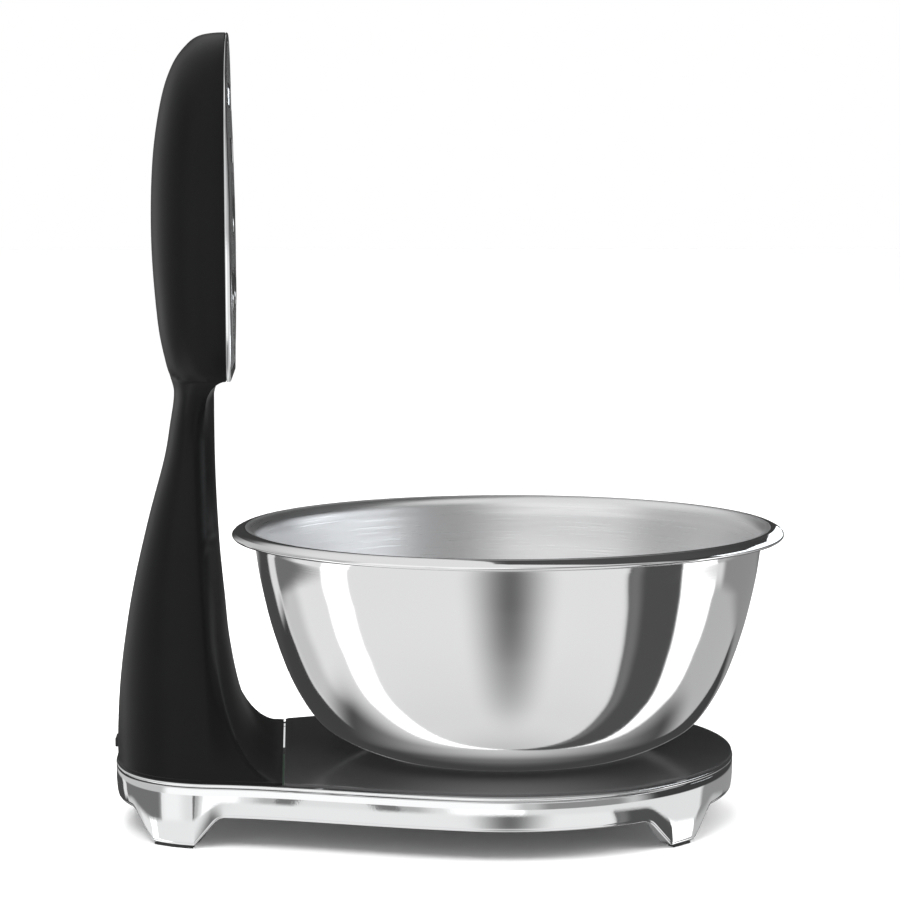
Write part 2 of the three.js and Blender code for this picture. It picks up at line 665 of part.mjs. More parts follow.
// ---------------------------------------------------------------- electronics in the column
function wiringLoom() {
  const route = new THREE.CatmullRomCurve3([
    new THREE.Vector3(-138, 20, FLOOR_TOP + 4.4), new THREE.Vector3(-141, 18, 38),
    new THREE.Vector3(-140, 14, 66), new THREE.Vector3(-134, 4, 108), new THREE.Vector3(-127, 0, 142),
    new THREE.Vector3(-125.4, 0, 170), new THREE.Vector3(-127, 0, 192),
    new THREE.Vector3(-124, 0, 206), new THREE.Vector3(-118.6, 0, 210),
  ]);
  const r = 1.5;
  const section = new THREE.Shape();
  section.absarc(0, 0, r, 0, 2 * Math.PI);
  return new THREE.ExtrudeGeometry(section, {
    steps: 36, curveSegments: 4, bevelEnabled: false, extrudePath: route,
  });
}

const CHARGE_CELL_X = -125.5;
const CHARGE_CELL_Z = 47;
const BOARD_THICK = 1.6;

const mainBoard = () => box(-142, -30, FLOOR_TOP + 2, -84, 30, FLOOR_TOP + 2 + BOARD_THICK);
const chargeBoard = () => {
  const top = PORT_Z - SOCKET_HALF[1] - 0.5;
  return box(-153, -11, top - BOARD_THICK, -135.5, 11, top);
};

function chargeSocket() {
  const [half, high] = SOCKET_HALF;
  const wall = 0.5;
  const can = box(-154.4, -half, PORT_Z - high, -147, half, PORT_Z + high);
  return cut(can, box(-156, -half + wall, PORT_Z - high + wall, -149, half - wall, PORT_Z + high - wall));
}

function portCover() {
  const [half, high] = PORT_HALF;
  return box(PORT_OUT_X, -half, PORT_Z - high, PORT_IN_X, half, PORT_Z + high);
}

function chargeCell() {
  const r = 9.1;
  const half = 32.5;
  const profile = [
    v2(0, -half), v2(r - 0.6, -half), v2(r, -half + 0.6), v2(r, half - 0.6), v2(r - 0.6, half),
    v2(3.2, half), v2(3.2, half + 1.2), v2(0, half + 1.2),
  ];
  return new THREE.LatheGeometry(profile, 24).translate(CHARGE_CELL_X, 0, CHARGE_CELL_Z);
}

function cellCradle() {
  const reach = 8.5;
  const block = box(CHARGE_CELL_X - reach, -34, FLOOR_TOP + 4.6, CHARGE_CELL_X + reach, 34, 43);
  const bed = new THREE.CylinderGeometry(9.5, 9.5, 80, 24);
  return cut(block, bed.translate(CHARGE_CELL_X, 0, CHARGE_CELL_Z));
}

// ---------------------------------------------------------------- assembly
add("base_frame", baseFrame(), CHROME);
add("trim_ring", trimRing(), CHROME);
[[1, -1], [1, 1], [-1, -1], [-1, 1]].forEach(([sx, sy], i) =>
  add(`foot_pad_${i + 1}`, footPad(sx, sy), RUBBER));
add("bottom_cover", bottomCover(), MOULDING);
LUGS.forEach((place, i) => add(`cover_screw_${i + 1}`, screwUp(place, COVER_LOW, 8.5), ZINC_STEEL));
COLUMN_BOSSES.forEach((place, i) =>
  add(`column_screw_${i + 1}`, screwUp(place, COVER_LOW, 10), ZINC_STEEL));

add("load_cell", loadCell(), ALUMINIUM);
add("cell_spacer_fixed", cellSpacer(CELL_FIXED, FLOOR_TOP, CELL_LOW - GAP), ALUMINIUM);
add("cell_spacer_free", cellSpacer(CELL_FREE, CELL_TOP + GAP, SPIDER_LOW - GAP), ALUMINIUM);
CELL_FIXED.forEach((place, i) =>
  add(`cell_screw_fixed_${i + 1}`, screwUp(place, COVER_LOW, 8), ZINC_STEEL));
CELL_FREE.forEach(([x, y], i) =>
  add(`cell_screw_free_${i + 1}`, post(x, y, CELL_LOW + 1, SPIDER_TOP, SCREW_R, 14), ZINC_STEEL));
add("overload_stop", overloadStop(), ZINC_STEEL);
add("platform_spider", platformSpider(), ZINC_STEEL);
add("platform_cover", platformCover(), GLOSS_BLACK);
add("bowl", bowl(), CHROME);

add("column_shell", columnShell(), BLACK_SHELL);
add("face_bezel", faceBezel(), CHROME);
add("face_plate", facePlate(), SATIN_STEEL);
add("display_window", windowGlass(DISPLAY), DARK_GLASS);
add("timer_window", windowGlass(TIMER), DARK_GLASS);
add("control_disc", controlDisc(), SATIN_STEEL);
buttonPlaces.forEach((place, i) =>
  add(`button_${["tare", "unit", "timer"][i]}`, button(place), CHROME));
add("button_membrane", buttonMembrane(), RUBBER);
add("display_module", displayModule(DISPLAY), MOULDING);
add("timer_module", displayModule(TIMER), MOULDING);
add("face_carrier", faceCarrier(), MOULDING);
add("display_board", displayBoard(), BOARD);
add("buzzer", buzzer(), MOULDING);

add("main_board", mainBoard(), BOARD);
add("charge_board", chargeBoard(), BOARD);
add("charge_socket", chargeSocket(), ZINC_STEEL);
add("charge_cell", chargeCell(), CELL_WRAP);
add("cell_cradle", cellCradle(), MOULDING);
add("wiring_loom", wiringLoom(), CABLE);
add("port_cover", portCover(), RUBBER);

// the origin: under the middle of the whole
root.position.x = -(LIP_R + PORT_OUT_X) / 2;

export default root;
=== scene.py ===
import json
import math

import bmesh
import bpy
import numpy as np
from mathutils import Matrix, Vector

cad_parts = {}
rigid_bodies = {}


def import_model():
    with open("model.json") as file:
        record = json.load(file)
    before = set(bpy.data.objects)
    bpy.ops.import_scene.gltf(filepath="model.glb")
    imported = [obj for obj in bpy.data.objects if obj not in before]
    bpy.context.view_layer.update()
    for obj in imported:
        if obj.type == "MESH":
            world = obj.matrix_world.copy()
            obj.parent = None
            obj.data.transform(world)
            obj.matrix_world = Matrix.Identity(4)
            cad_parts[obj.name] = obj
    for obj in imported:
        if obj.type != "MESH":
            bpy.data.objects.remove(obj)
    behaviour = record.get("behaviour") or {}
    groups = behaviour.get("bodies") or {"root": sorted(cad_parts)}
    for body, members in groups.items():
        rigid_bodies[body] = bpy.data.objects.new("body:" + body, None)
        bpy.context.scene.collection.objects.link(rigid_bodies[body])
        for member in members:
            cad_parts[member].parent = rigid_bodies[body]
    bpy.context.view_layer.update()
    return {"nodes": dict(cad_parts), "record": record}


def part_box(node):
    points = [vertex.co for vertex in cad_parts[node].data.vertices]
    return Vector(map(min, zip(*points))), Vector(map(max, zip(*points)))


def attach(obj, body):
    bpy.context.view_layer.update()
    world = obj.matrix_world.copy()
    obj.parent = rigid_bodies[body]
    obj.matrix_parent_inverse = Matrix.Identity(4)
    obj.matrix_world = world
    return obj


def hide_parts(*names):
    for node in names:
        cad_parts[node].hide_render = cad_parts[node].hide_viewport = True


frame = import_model()

# ---------------- places, from the frame
MM = 0.001
bowl_low, bowl_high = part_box("bowl")
AXIS_X = (bowl_low.x + bowl_high.x) / 2      # everything below is in mm from the bowl's axis


def node_mm(name):
    """The corners of a CAD node in mm, measured from the bowl's axis."""
    low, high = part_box(name)
    shift = Vector((AXIS_X, 0, 0))
    return (low - shift) / MM, (high - shift) / MM


base_low, base_high = node_mm("base_frame")
trim_low, trim_high = node_mm("trim_ring")
deck_low, deck_high = node_mm("platform_cover")
bezel_low, bezel_high = node_mm("face_bezel")
plate_low = node_mm("face_plate")[0]
disc_low, disc_high = node_mm("control_disc")
DISC_Z = (disc_low.z + disc_high.z) / 2
DISC_R = disc_high.y

DECK_R = base_high.x
REAR_X = base_low.x
BAND_TOP = base_high.z
PAD_TOP = base_low.z
BAND_LOW = 12.4
DECK_TOP = deck_high.z
SEAM_X = -90.6
SEAM_HALF = 0.35                              # half of the gap at the seam
SEAM_HALF_WIDTH = 64.1                        # from the middle to the end of the seam
FACE_X = -111.5
HEAD_LOW = bezel_low.z
HEAD_TOP = bezel_high.z
HEAD_HALF = bezel_high.y
NECK_Z = 152.0                                # narrowest part of the column
BEZEL_W = 3.4
LIP_R = bowl_high.y / MM
BOWL_FOOT_Z = bowl_low.z / MM
RIM_TOP = bowl_high.z / MM

# ---------------- mesh helpers


def new_object(name, points, faces):
    """A new object from points in metres."""
    mesh = bpy.data.meshes.new(name)
    mesh.from_pydata(points, [], faces)
    mesh.validate()
    return into_scene(bpy.data.objects.new(name, mesh))


def into_scene(obj):
    bpy.context.scene.collection.objects.link(obj)
    return obj


def in_metres(points):
    """Points in mm from the bowl's axis, in the frame's metres."""
    return [(x * MM + AXIS_X, y * MM, z * MM) for x, y, z in points]


def as_mesh(obj, modifier):
    """Makes the modifier's result the object's own mesh and takes the modifier away."""
    bpy.context.view_layer.update()
    seen = obj.evaluated_get(bpy.context.evaluated_depsgraph_get())
    made = bpy.data.meshes.new_from_object(seen)
    obj.modifiers.remove(modifier)
    made.name = obj.name
    obj.data = made


def piece(name, points, faces, material, body, slot, replaces=(), smooth_angle=40):
    """A finished piece from points in mm: mesh, finish and body; the slot is not used."""
    obj = new_object(name, in_metres(points), faces)
    return finished(obj, material, body, replaces, smooth_angle)


def finished(obj, material, body, replaces=(), smooth_angle=40):
    """Smooths a piece, gives it its finish and hangs it on its body."""
    mesh = obj.data
    shell = bmesh.new()
    shell.from_mesh(mesh)
    bmesh.ops.remove_doubles(shell, verts=shell.verts, dist=1e-7)
    bmesh.ops.recalc_face_normals(shell, faces=shell.faces)
    limit = math.radians(smooth_angle)
    for edge in shell.edges:
        edge.smooth = len(edge.link_faces) == 2 and edge.calc_face_angle(0) < limit
    for face in shell.faces:
        face.smooth = True
    shell.to_mesh(mesh)
    shell.free()
    mesh.materials.clear()
    mesh.materials.append(material)
    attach(obj, body)
    if replaces:
        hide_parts(*replaces)
    return obj


def grid_faces(rings, around, close_rings=False):
    """Quads between rings of points; the last ring joins the first if close_rings."""
    faces = []
    for r in range(rings if close_rings else rings - 1):
        a = r * around
        b = ((r + 1) % rings) * around
        for i in range(around):
            j = (i + 1) % around
            faces.append((a + i, a + j, b + j, b + i))
    return faces


def lofted(rings):
    """Points and faces of a closed skin through rings, capped with fans at both ends."""
    around = len(rings[0])
    points = [tuple(p) for ring in rings for p in ring]
    faces = grid_faces(len(rings), around)
    for ring, start, flip in ((rings[0], 0, True), (rings[-1], (len(rings) - 1) * around, False)):
        middle = len(points)
        points.append(tuple(np.mean(np.array(ring), axis=0)))
        for i in range(around):
            j = (i + 1) % around
            faces.append((middle, start + j, start + i) if flip else (middle, start + i, start + j))
    return points, faces


def skin(name, rings, *finish):
    """A closed piece through rings of points; finish as in piece."""
    return piece(name, *lofted(rings), *finish)


def hoop(name, rings, *finish):
    """A ring-shaped piece: the last ring of points joins the first."""
    points = [tuple(p) for ring in rings for p in ring]
    faces = grid_faces(len(rings), len(rings[0]), close_rings=True)
    return piece(name, points, faces, *finish)


def turned(profile, steps=192):
    """Points and faces of a profile of (radius, height) turned about the bowl's axis."""
    points = []
    rows = []
    for r, z in profile:
        if r < 1e-6:
            rows.append([len(points)])
            points.append((0.0, 0.0, z))
            continue
        rows.append(list(range(len(points), len(points) + steps)))
        for k in range(steps):
            a = 2 * math.pi * k / steps
            points.append((r * math.cos(a), r * math.sin(a), z))
    faces = []
    for low, high in zip(rows, rows[1:]):
        for k in range(steps if len(low) + len(high) > 2 else 0):
            n = (k + 1) % steps
            corners = (low[k % len(low)], low[n % len(low)], high[n % len(high)], high[k % len(high)])
            faces.append(tuple(dict.fromkeys(corners)))      # a point on the axis counts once
    return points, faces


def arc(cx, cy, r, start, end, steps):
    """Points on an arc, angles in degrees."""
    angles = np.radians(np.linspace(start, end, steps + 1))
    return [(cx + r * math.cos(a), cy + r * math.sin(a)) for a in angles]


def spline(points, per_span=12):
    """A smooth curve through points, as a list of points."""
    p = [np.array(q, float) for q in points]
    p = [p[0]] + p + [p[-1]]
    out = []
    for k in range(1, len(p) - 2):
        for i in range(per_span):
            t = i / per_span
            v0 = (p[k + 1] - p[k - 1]) / 2
            v1 = (p[k + 2] - p[k]) / 2
            a = 2 * p[k] - 2 * p[k + 1] + v0 + v1
            b = -3 * p[k] + 3 * p[k + 1] - 2 * v0 - v1
            out.append(a * t ** 3 + b * t ** 2 + v0 * t + p[k])
    out.append(p[-2])
    return [tuple(q) for q in out]


def along_height(knots):
    """A size that changes with height, through (height, size) knots."""
    points = spline(knots)
    heights = [q[0] for q in points]
    sizes = [q[1] for q in points]
    return lambda z: float(np.interp(z, heights, sizes))


# ---------------- outlines


def bezier(a, b, c, d, steps):
    t = np.linspace(0, 1, steps, endpoint=False)[:, None]
    a, b, c, d = (np.array(q, float) for q in (a, b, c, d))
    point = (1 - t) ** 3 * a + 3 * (1 - t) ** 2 * t * b + 3 * (1 - t) * t ** 2 * c + t ** 3 * d
    slope = 3 * (1 - t) ** 2 * (b - a) + 6 * (1 - t) * t * (c - b) + 3 * t ** 2 * (d - c)
    return point, slope / np.linalg.norm(slope, axis=1)[:, None]


def base_outline(inset, steps=110):
    """The pear outline of the base, pulled in by inset, anticlockwise from the front."""
    sweep = math.radians(104)
    t = np.linspace(0, sweep, steps, endpoint=False)
    front = np.stack([DECK_R * np.cos(t), DECK_R * np.sin(t)], 1)
    front_slope = np.stack([-np.sin(t), np.cos(t)], 1)
    side = (DECK_R * math.cos(sweep), DECK_R * math.sin(sweep))
    rear = (-118, 58.3)
    waist, waist_slope = bezier(side, (-60.7, 78.2), (-85.5, 63.9), rear, steps)
    heel, heel_slope = bezier(rear, (-143.6, 53.9), (REAR_X, 34), (REAR_X, 0), steps)
    point = np.concatenate([front, waist, heel])
    slope = np.concatenate([front_slope, waist_slope, heel_slope])
    inner = point + inset * np.stack([-slope[:, 1], slope[:, 0]], 1)
    inner[0, 1] = 0
    back = np.array([[REAR_X + inset, 0.0]])
    mirrored = inner[1:][::-1] * np.array([1, -1])
    return np.concatenate([inner, back, mirrored])


def clipped(points, at, side):
    """What lies in front of (side 1) or behind (side -1) the line x = at."""
    out = []
    for p, q in zip(points, np.roll(points, -1, axis=0)):
        inside = side * (p[0] - at) >= 0
        next_inside = side * (q[0] - at) >= 0
        if inside:
            out.append(p)
        if inside != next_inside:
            out.append(p + (q - p) * (at - p[0]) / (q[0] - p[0]))
    return np.array(out)


def ray_reach(edge, middle, angles):
    """How far rays from middle reach to the closed edge, at each angle."""
    p = edge - np.array(middle)
    d = np.roll(p, -1, axis=0) - p
    out = []
    for a in angles:
        ray = np.array([math.cos(a), math.sin(a)])
        cross = ray[0] * d[:, 1] - ray[1] * d[:, 0]
        cross = np.where(np.abs(cross) < 1e-12, 1e-12, cross)
        along = (p[:, 0] * d[:, 1] - p[:, 1] * d[:, 0]) / cross
        on = (p[:, 0] * ray[1] - p[:, 1] * ray[0]) / cross
        hit = (along > 0) & (on >= -1e-6) & (on <= 1 + 1e-6)
        out.append(along[hit].max())
    return np.array(out)


# ---------------- finishes


class Nodes:
    """A node tree under construction."""

    def __init__(self, tree):
        self.tree = tree

    def filled(self, made, inputs):
        """Links or sets pairs of (socket, value), and gives the node back."""
        for socket, value in inputs:
            if isinstance(value, bpy.types.NodeSocket):
                self.tree.links.new(value, socket)
            else:
                socket.default_value = value
        return made

    def node(self, kind, **inputs):
        made = self.tree.nodes.new(kind)
        return self.filled(made, [(made.inputs[key.replace("_", " ")], value)
                                  for key, value in inputs.items()])

    def sum(self, kind, operation, values):
        made = self.tree.nodes.new(kind)
        made.operation = operation
        return self.filled(made, zip(made.inputs, values)).outputs[0]

    def math(self, operation, a, b=0.0):
        return self.sum("ShaderNodeMath", operation, (a, b))

    def vector(self, x=0.0, y=0.0, z=0.0):
        return self.node("ShaderNodeCombineXYZ", X=x, Y=y, Z=z).outputs[0]

    def parts(self, vector):
        return self.node("ShaderNodeSeparateXYZ", Vector=vector).outputs

    def ranged(self, value, start, end, low, high):
        return self.node("ShaderNodeMapRange", Value=value, From_Min=start, From_Max=end,
                         To_Min=low, To_Max=high)


class Finish(Nodes):
    """A material: how it looks, worked out from places on the object."""

    def __init__(self, name, color, roughness, metallic=0.0, **sockets):
        self.material = bpy.data.materials.new(name)
        self.material.use_nodes = True
        super().__init__(self.material.node_tree)
        self.shader = self.tree.nodes["Principled BSDF"]
        self.shader.inputs["Base Color"].default_value = (*color, 1)
        self.shader.inputs["Roughness"].default_value = roughness
        self.shader.inputs["Metallic"].default_value = metallic
        for socket, value in sockets.items():
            self.shader.inputs[socket.replace("_", " ")].default_value = value
        self.place = self.tree.nodes.new("ShaderNodeTexCoord").outputs["Object"]

    def mapped(self, location=(0, 0, 0), scale=(1, 1, 1)):
        return self.node("ShaderNodeMapping", Vector=self.place, Location=location,
                         Scale=scale).outputs["Vector"]

    def noise(self, scale, detail=3.0, rough=0.55, vector=None):
        made = self.node("ShaderNodeTexNoise", Vector=vector or self.place,
                         Scale=scale, Detail=detail, Roughness=rough)
        return made.outputs["Fac"]

    def ramp(self, factor, low, high, start=0.0, end=1.0):
        return self.ranged(factor, start, end, low, high).outputs["Result"]

    def colors(self, factor, dark, light, start=0.3, end=0.7):
        made = self.node("ShaderNodeValToRGB", Fac=factor)
        for stop, at, color in zip(made.color_ramp.elements, (start, end), (dark, light)):
            stop.position = at
            stop.color = (*color, 1)
        return made.outputs["Color"]

    def polar(self, a, b):
        """The distance from the middle and the turn round it, of two coordinates."""
        squares = self.math("ADD", self.math("MULTIPLY", a, a), self.math("MULTIPLY", b, b))
        return self.math("SQRT", squares), self.math("ARCTAN2", b, a)

    def roughened(self, pattern, rough, low, high, start=0.3, end=0.7):
        self.into("Roughness", self.ramp(pattern, rough * low, rough * high, start, end))

    def mottled(self, pattern, color, dark, light=1.0):
        self.into("Base Color", self.colors(pattern, [c * dark for c in color], [c * light for c in color]))

    def into(self, socket, value):
        self.tree.links.new(value, self.shader.inputs[socket])

    def bump(self, *layers):
        """Stacks bumps: each layer is (height, strength, distance in metres)."""
        last = None
        for height, strength, distance in layers:
            made = self.node("ShaderNodeBump", Height=height, Strength=strength, Distance=distance)
            if last is not None:
                self.tree.links.new(last, made.inputs["Normal"])
            last = made.outputs["Normal"]
        self.tree.links.new(last, self.shader.inputs["Normal"])
        return self


def polished_chrome(name, tint=(0.86, 0.865, 0.87), rough=0.035):
    f = Finish(name, tint, rough, 1.0)
    f.roughened(f.noise(38, 5), rough, 0.7, 2.1, 0.3, 0.75)
    f.mottled(f.noise(11, 3), tint, 0.97)
    return f.bump((f.noise(26, 2), 0.10, 0.0006), (f.noise(900, 2), 0.02, 0.0002)).material


def turned_steel(name, rough, line_strength, tint=(0.80, 0.80, 0.805), lines=2400):
    """Polished or satin steel with fine lines running round the bowl's axis."""
    f = Finish(name, tint, rough, 1.0)
    x, y, z = f.parts(f.mapped(location=(-AXIS_X, 0, 0)))
    radius, turn = f.polar(x, y)
    run = f.math("ADD", radius, z)
    along = f.vector(f.math("MULTIPLY", run, lines), f.math("MULTIPLY", turn, 2.2))
    scratch = f.noise(1.0, 4, 0.65, along)
    f.roughened(scratch, rough, 0.75, 1.35)
    f.mottled(f.noise(9, 3), tint, 0.965)
    return f.bump((scratch, line_strength, 0.00008), (f.noise(30, 2), 0.05, 0.0006)).material


LINES_PER_METRE = 5200        # of the brushing on the head's face


def brushed_panel(name, tint=(0.74, 0.745, 0.75), rough=0.3):
    """Satin steel of the head's face, brushed upright."""
    f = Finish(name, tint, rough, 1.0, Anisotropic=0.5)
    scratch = f.noise(1.0, 4, 0.6, f.mapped(scale=(1, LINES_PER_METRE, 34)))
    f.roughened(scratch, rough, 0.75, 1.3)
    f.mottled(f.noise(14, 3), tint, 0.95)
    return f.bump((scratch, 0.18, 0.00006)).material


def spun_panel(name, centre, tint=(0.78, 0.785, 0.79), rough=0.24):
    """Satin steel disc with rings turned about the X axis through centre (metres)."""
    f = Finish(name, tint, rough, 1.0, Anisotropic=0.55)
    radius, turn = f.polar(*f.parts(f.mapped(location=-centre))[1:])
    along = f.vector(f.math("MULTIPLY", radius, LINES_PER_METRE), f.math("MULTIPLY", turn, 3))
    scratch = f.noise(1.0, 4, 0.6, along)
    f.roughened(scratch, rough, 0.7, 1.4)
    f.mottled(f.noise(20, 2), tint, 0.95)
    return f.bump((scratch, 0.22, 0.00006)).material


def satin_black(name, rough=0.34, color=(0.0030, 0.0030, 0.0031), level=0.11):
    f = Finish(name, color, rough, 0.0, Specular_IOR_Level=level)
    pebble = f.node("ShaderNodeTexVoronoi", Vector=f.place, Scale=1500.0).outputs["Distance"]
    f.roughened(f.noise(24, 4), rough, 0.9, 1.12)
    f.mottled(f.noise(17, 3), color, 0.85, 1.15)
    return f.bump((pebble, 0.05, 0.00012), (f.noise(2600, 3), 0.05, 0.0001)).material


def gloss_black(name, rough=0.11, color=(0.006, 0.006, 0.0063), level=0.3):
    f = Finish(name, color, rough, 0.0, Specular_IOR_Level=level)
    f.roughened(f.noise(13, 5, 0.6), rough, 0.8, 1.5, 0.35, 0.75)
    # painted light and shade: the colour grows lighter towards the front (-Y), standing in for the lit
    # front edge of the platform and the shade under the bowl; a fine noise varies it a little
    towards_front = f.ramp(f.parts(f.place)["Y"], 1.0, 0.0, -0.088, 0.02)
    painted_front_light = f.math("MULTIPLY", towards_front, f.ramp(f.noise(700, 2), 0.85, 1.1))
    f.into("Base Color", f.colors(painted_front_light, color, [c * 3.6 for c in color], 0.0, 1.0))
    return f.bump((f.noise(21, 2), 0.04, 0.0006)).material


def rubber(name):
    color = (0.018, 0.018, 0.018)
    f = Finish(name, color, 0.75, 0.0, Specular_IOR_Level=0.3)
    f.roughened(f.noise(160, 4), 1.0, 0.62, 0.88)
    f.mottled(f.noise(60, 3), color, 0.8, 1.3)
    return f.bump((f.noise(1800, 3), 0.25, 0.00015)).material


def moulded(name, color, rough=0.55):
    f = Finish(name, color, rough)
    f.roughened(f.noise(90, 3), rough, 0.85, 1.15)
    f.mottled(f.noise(40, 3), color, 0.88, 1.1)
    spark = f.node("ShaderNodeTexVoronoi", Vector=f.place, Scale=1100.0).outputs["Distance"]
    return f.bump((spark, 0.22, 0.00012)).material


def plated(name, tint=(0.62, 0.625, 0.64), rough=0.3):
    f = Finish(name, tint, rough, 1.0)
    f.roughened(f.noise(120, 4), rough, 0.7, 1.4)
    f.mottled(f.noise(50, 3), tint, 0.9)
    return f.bump((f.noise(1400, 2), 0.12, 0.00008)).material


def circuit_board(name):
    f = Finish(name, (0.02, 0.10, 0.045), 0.38)
    brick = f.node("ShaderNodeTexBrick", Vector=f.place, Scale=260.0).outputs["Fac"]
    f.into("Base Color", f.colors(brick, (0.018, 0.095, 0.04), (0.04, 0.2, 0.09), 0.2, 0.8))
    f.into("Roughness", f.ramp(f.noise(200, 2), 0.3, 0.5))
    return f.bump((brick, 0.2, 0.0001)).material


def lit(name, color=(0.85, 0.93, 1.0), strength=1.6):
    f = Finish(name, (0.7, 0.75, 0.8), 0.3, 0.0, Emission_Strength=strength)
    f.into("Emission Color", f.colors(f.noise(900, 2), [c * 0.86 for c in color], color))
    return f.material


disc_centre = Vector(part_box("control_disc")[0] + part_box("control_disc")[1]) / 2
CHROME = polished_chrome("polished_chrome")
TRIM_CHROME = polished_chrome("trim_chrome", rough=0.05)
BUTTON_CHROME = polished_chrome("button_chrome", tint=(0.83, 0.835, 0.84), rough=0.07)
BOWL_OUTSIDE = turned_steel("bowl_outside", 0.05, 0.05)
BOWL_INSIDE = turned_steel("bowl_inside", 0.32, 0.25, tint=(0.76, 0.76, 0.765))
FACE_STEEL = brushed_panel("face_steel")
DISC_STEEL = spun_panel("disc_steel", disc_centre)
SHELL_BLACK = satin_black("shell_black")
PLATFORM_BLACK = gloss_black("platform_black", rough=0.14, color=(0.012, 0.012, 0.0124), level=0.2)
WINDOW_BLACK = gloss_black("window_black", rough=0.03, level=0.5)
SOFT_RUBBER = rubber("soft_rubber")
PLAIN_MOULDING = moulded("plain_moulding", (0.022, 0.022, 0.024))
ZINC = plated("zinc_plate")
SHEET_STEEL = plated("sheet_steel", (0.58, 0.585, 0.6), 0.35)
MILLED = plated("milled_aluminium", (0.72, 0.725, 0.735), 0.38)
BOARD = circuit_board("circuit_board")
CELL_WRAP = moulded("cell_wrap", (0.05, 0.16, 0.42), 0.35)
CABLE_JACKET = moulded("cable_jacket", (0.02, 0.02, 0.021), 0.45)
DIGIT = lit("lit_digit")

SLOT_FINISH = {
    "chrome": CHROME, "bowl_steel": BOWL_OUTSIDE, "satin_steel": FACE_STEEL,
    "button_chrome": BUTTON_CHROME, "black_shell": SHELL_BLACK, "gloss_black": PLATFORM_BLACK,
    "dark_glass": WINDOW_BLACK, "rubber": SOFT_RUBBER, "moulding": PLAIN_MOULDING, "board": BOARD,
    "aluminium": MILLED, "fastener": ZINC, "sheet_steel": SHEET_STEEL, "cell_wrap": CELL_WRAP,
    "cable": CABLE_JACKET,
}


def dress_cad_nodes():
    """Every carried-over node gets the finish of its slot."""
    for entry in frame["record"]["subparts"]:
        mesh = frame["nodes"][entry["node"]].data
        mesh.materials.clear()
        mesh.materials.append(SLOT_FINISH[entry["material_slot"]])


# ---------------- base


SIDE_MIDDLE_X = -33.5         # the openings between the feet
SIDE_HALF = 91.5
FRONT_HALF = 60.0
REAR_HALF = 47.5
LEAN = 12.0                   # how far a foot's side slants


def gap_height(distance, half_open):
    """How high the wall's lower edge is, by the distance from the middle of an opening."""
    reach = half_open - np.abs(distance)         # how far inside the opening
    t = np.clip(reach / LEAN, 0, 1)
    rise = np.where(t < 0.55, 1.25 * t, 1 - (1 - 1.25 * 0.55) * ((1 - t) / 0.45) ** 2.0)
    return PAD_TOP + (BAND_LOW - PAD_TOP) * np.clip(rise, 0, 1) * (reach > 0)


def lower_edge(x, y):
    """The lower edge of the base wall at a point of the outline: feet and band."""
    side = front = rear = PAD_TOP
    if abs(y) > 45 or -110 < x < 40:
        side = gap_height(x - SIDE_MIDDLE_X, SIDE_HALF)
    if x > 50:
        front = gap_height(y, FRONT_HALF)
    if x < -128:
        rear = gap_height(y, REAR_HALF)
    return float(max(side, front, rear))


EDGE_STEPS = 150
base_edge = base_outline(0.0, EDGE_STEPS)
inner_edge = base_outline(1.0, EDGE_STEPS)
edge_inward = (inner_edge - base_edge) / np.linalg.norm(inner_edge - base_edge, axis=1)[:, None]


def wall_points(i, section):
    """Points of (pulled in by, height) set across the base outline at its point i."""
    x, y = base_edge[i]
    dx, dy = edge_inward[i]
    return [(x + dx * pull, y + dy * pull, z) for pull, z in section]


def swept(name, section, material, replaces, smooth):
    """A chrome ring along the base outline; section(x, y) gives its (pulled in by, height) points."""
    rings = [wall_points(i, section(*base_edge[i])) for i in range(len(base_edge))]
    hoop(name, rings, material, "base", "chrome", replaces, smooth)


def base_section(x, y):
    low = lower_edge(x, y)
    foot = (BAND_LOW - low) / (BAND_LOW - PAD_TOP)
    wall = 3.0 + 3.6 * foot ** 0.7
    lip = 0.9
    top = BAND_TOP
    outer_low = [(0.55 + lip * (1 - math.cos(a)) * 0.75, low + lip * (1 - math.sin(a)))
                 for a in np.radians([90, 70, 50, 30, 12, 0])]
    outside = [(0.16, top - 0.12), (0.0, top - 0.4), (0.0, top - 3), (0.05, (top + low) / 2),
               (0.35, low + lip * 1.9), (0.5, low + lip * 1.25)]
    inside = [(wall - 0.5, low), (wall, low + 0.5), (wall, low + 2.2 + 1.0 * foot),
              (3.0, min(low + 12.5, top - 4)), (3.0, top)]
    return [(0.5, top)] + outside + outer_low + inside


def trim_section(x, y):
    """The same all round, so the place is not used."""
    low = trim_low.z
    high = trim_high.z
    bead = arc(0.55, (low + high) / 2, (high - low) / 2, 100, 260, 10)
    return [(4.4, high)] + [(0.75, high)] + bead + [(0.75, low), (4.4, low)]


def pad_runs():
    """The stretches of the outline that stand on a foot, as lists of its points."""
    on_foot = [lower_edge(*p) < PAD_TOP + 0.05 for p in base_edge]
    start = on_foot.index(False)
    runs = [[]]
    for k in range(len(on_foot) + 1):
        i = (start + k) % len(on_foot)
        if on_foot[i]:
            runs[-1].append(i)
        elif runs[-1]:
            runs.append([])
    return [run[2:-2] for run in runs if len(run) > 7]


def foot_pads():
    """Rubber strips under the feet, following the wall, with rounded ends."""
    high = PAD_TOP - 0.02
    for number, run in enumerate(pad_runs()):
        rings = []
        for k, i in enumerate(run):
            tuck = 0.9 * max(0, 1 - min(k, len(run) - 1 - k) / 2.5)
            near, far = 1.2 + tuck, 5.9 - tuck
            rings.append(wall_points(i, [(near, high), (near, 0.35), (near + 0.3, 0.0),
                                         (far - 0.3, 0.0), (far, 0.35), (far, high)]))
        skin(f"pad_strip_{number + 1}", rings, SOFT_RUBBER, "base", "rubber")


def make_base():
    swept("base_casting", base_section, CHROME, ["base_frame"], 32)
    swept("trim_bead", trim_section, TRIM_CHROME, ["trim_ring"], 60)
    foot_pads()


# ---------------- platform
EDGE_INSET = 0.4
EDGE_ROUND = 0.45


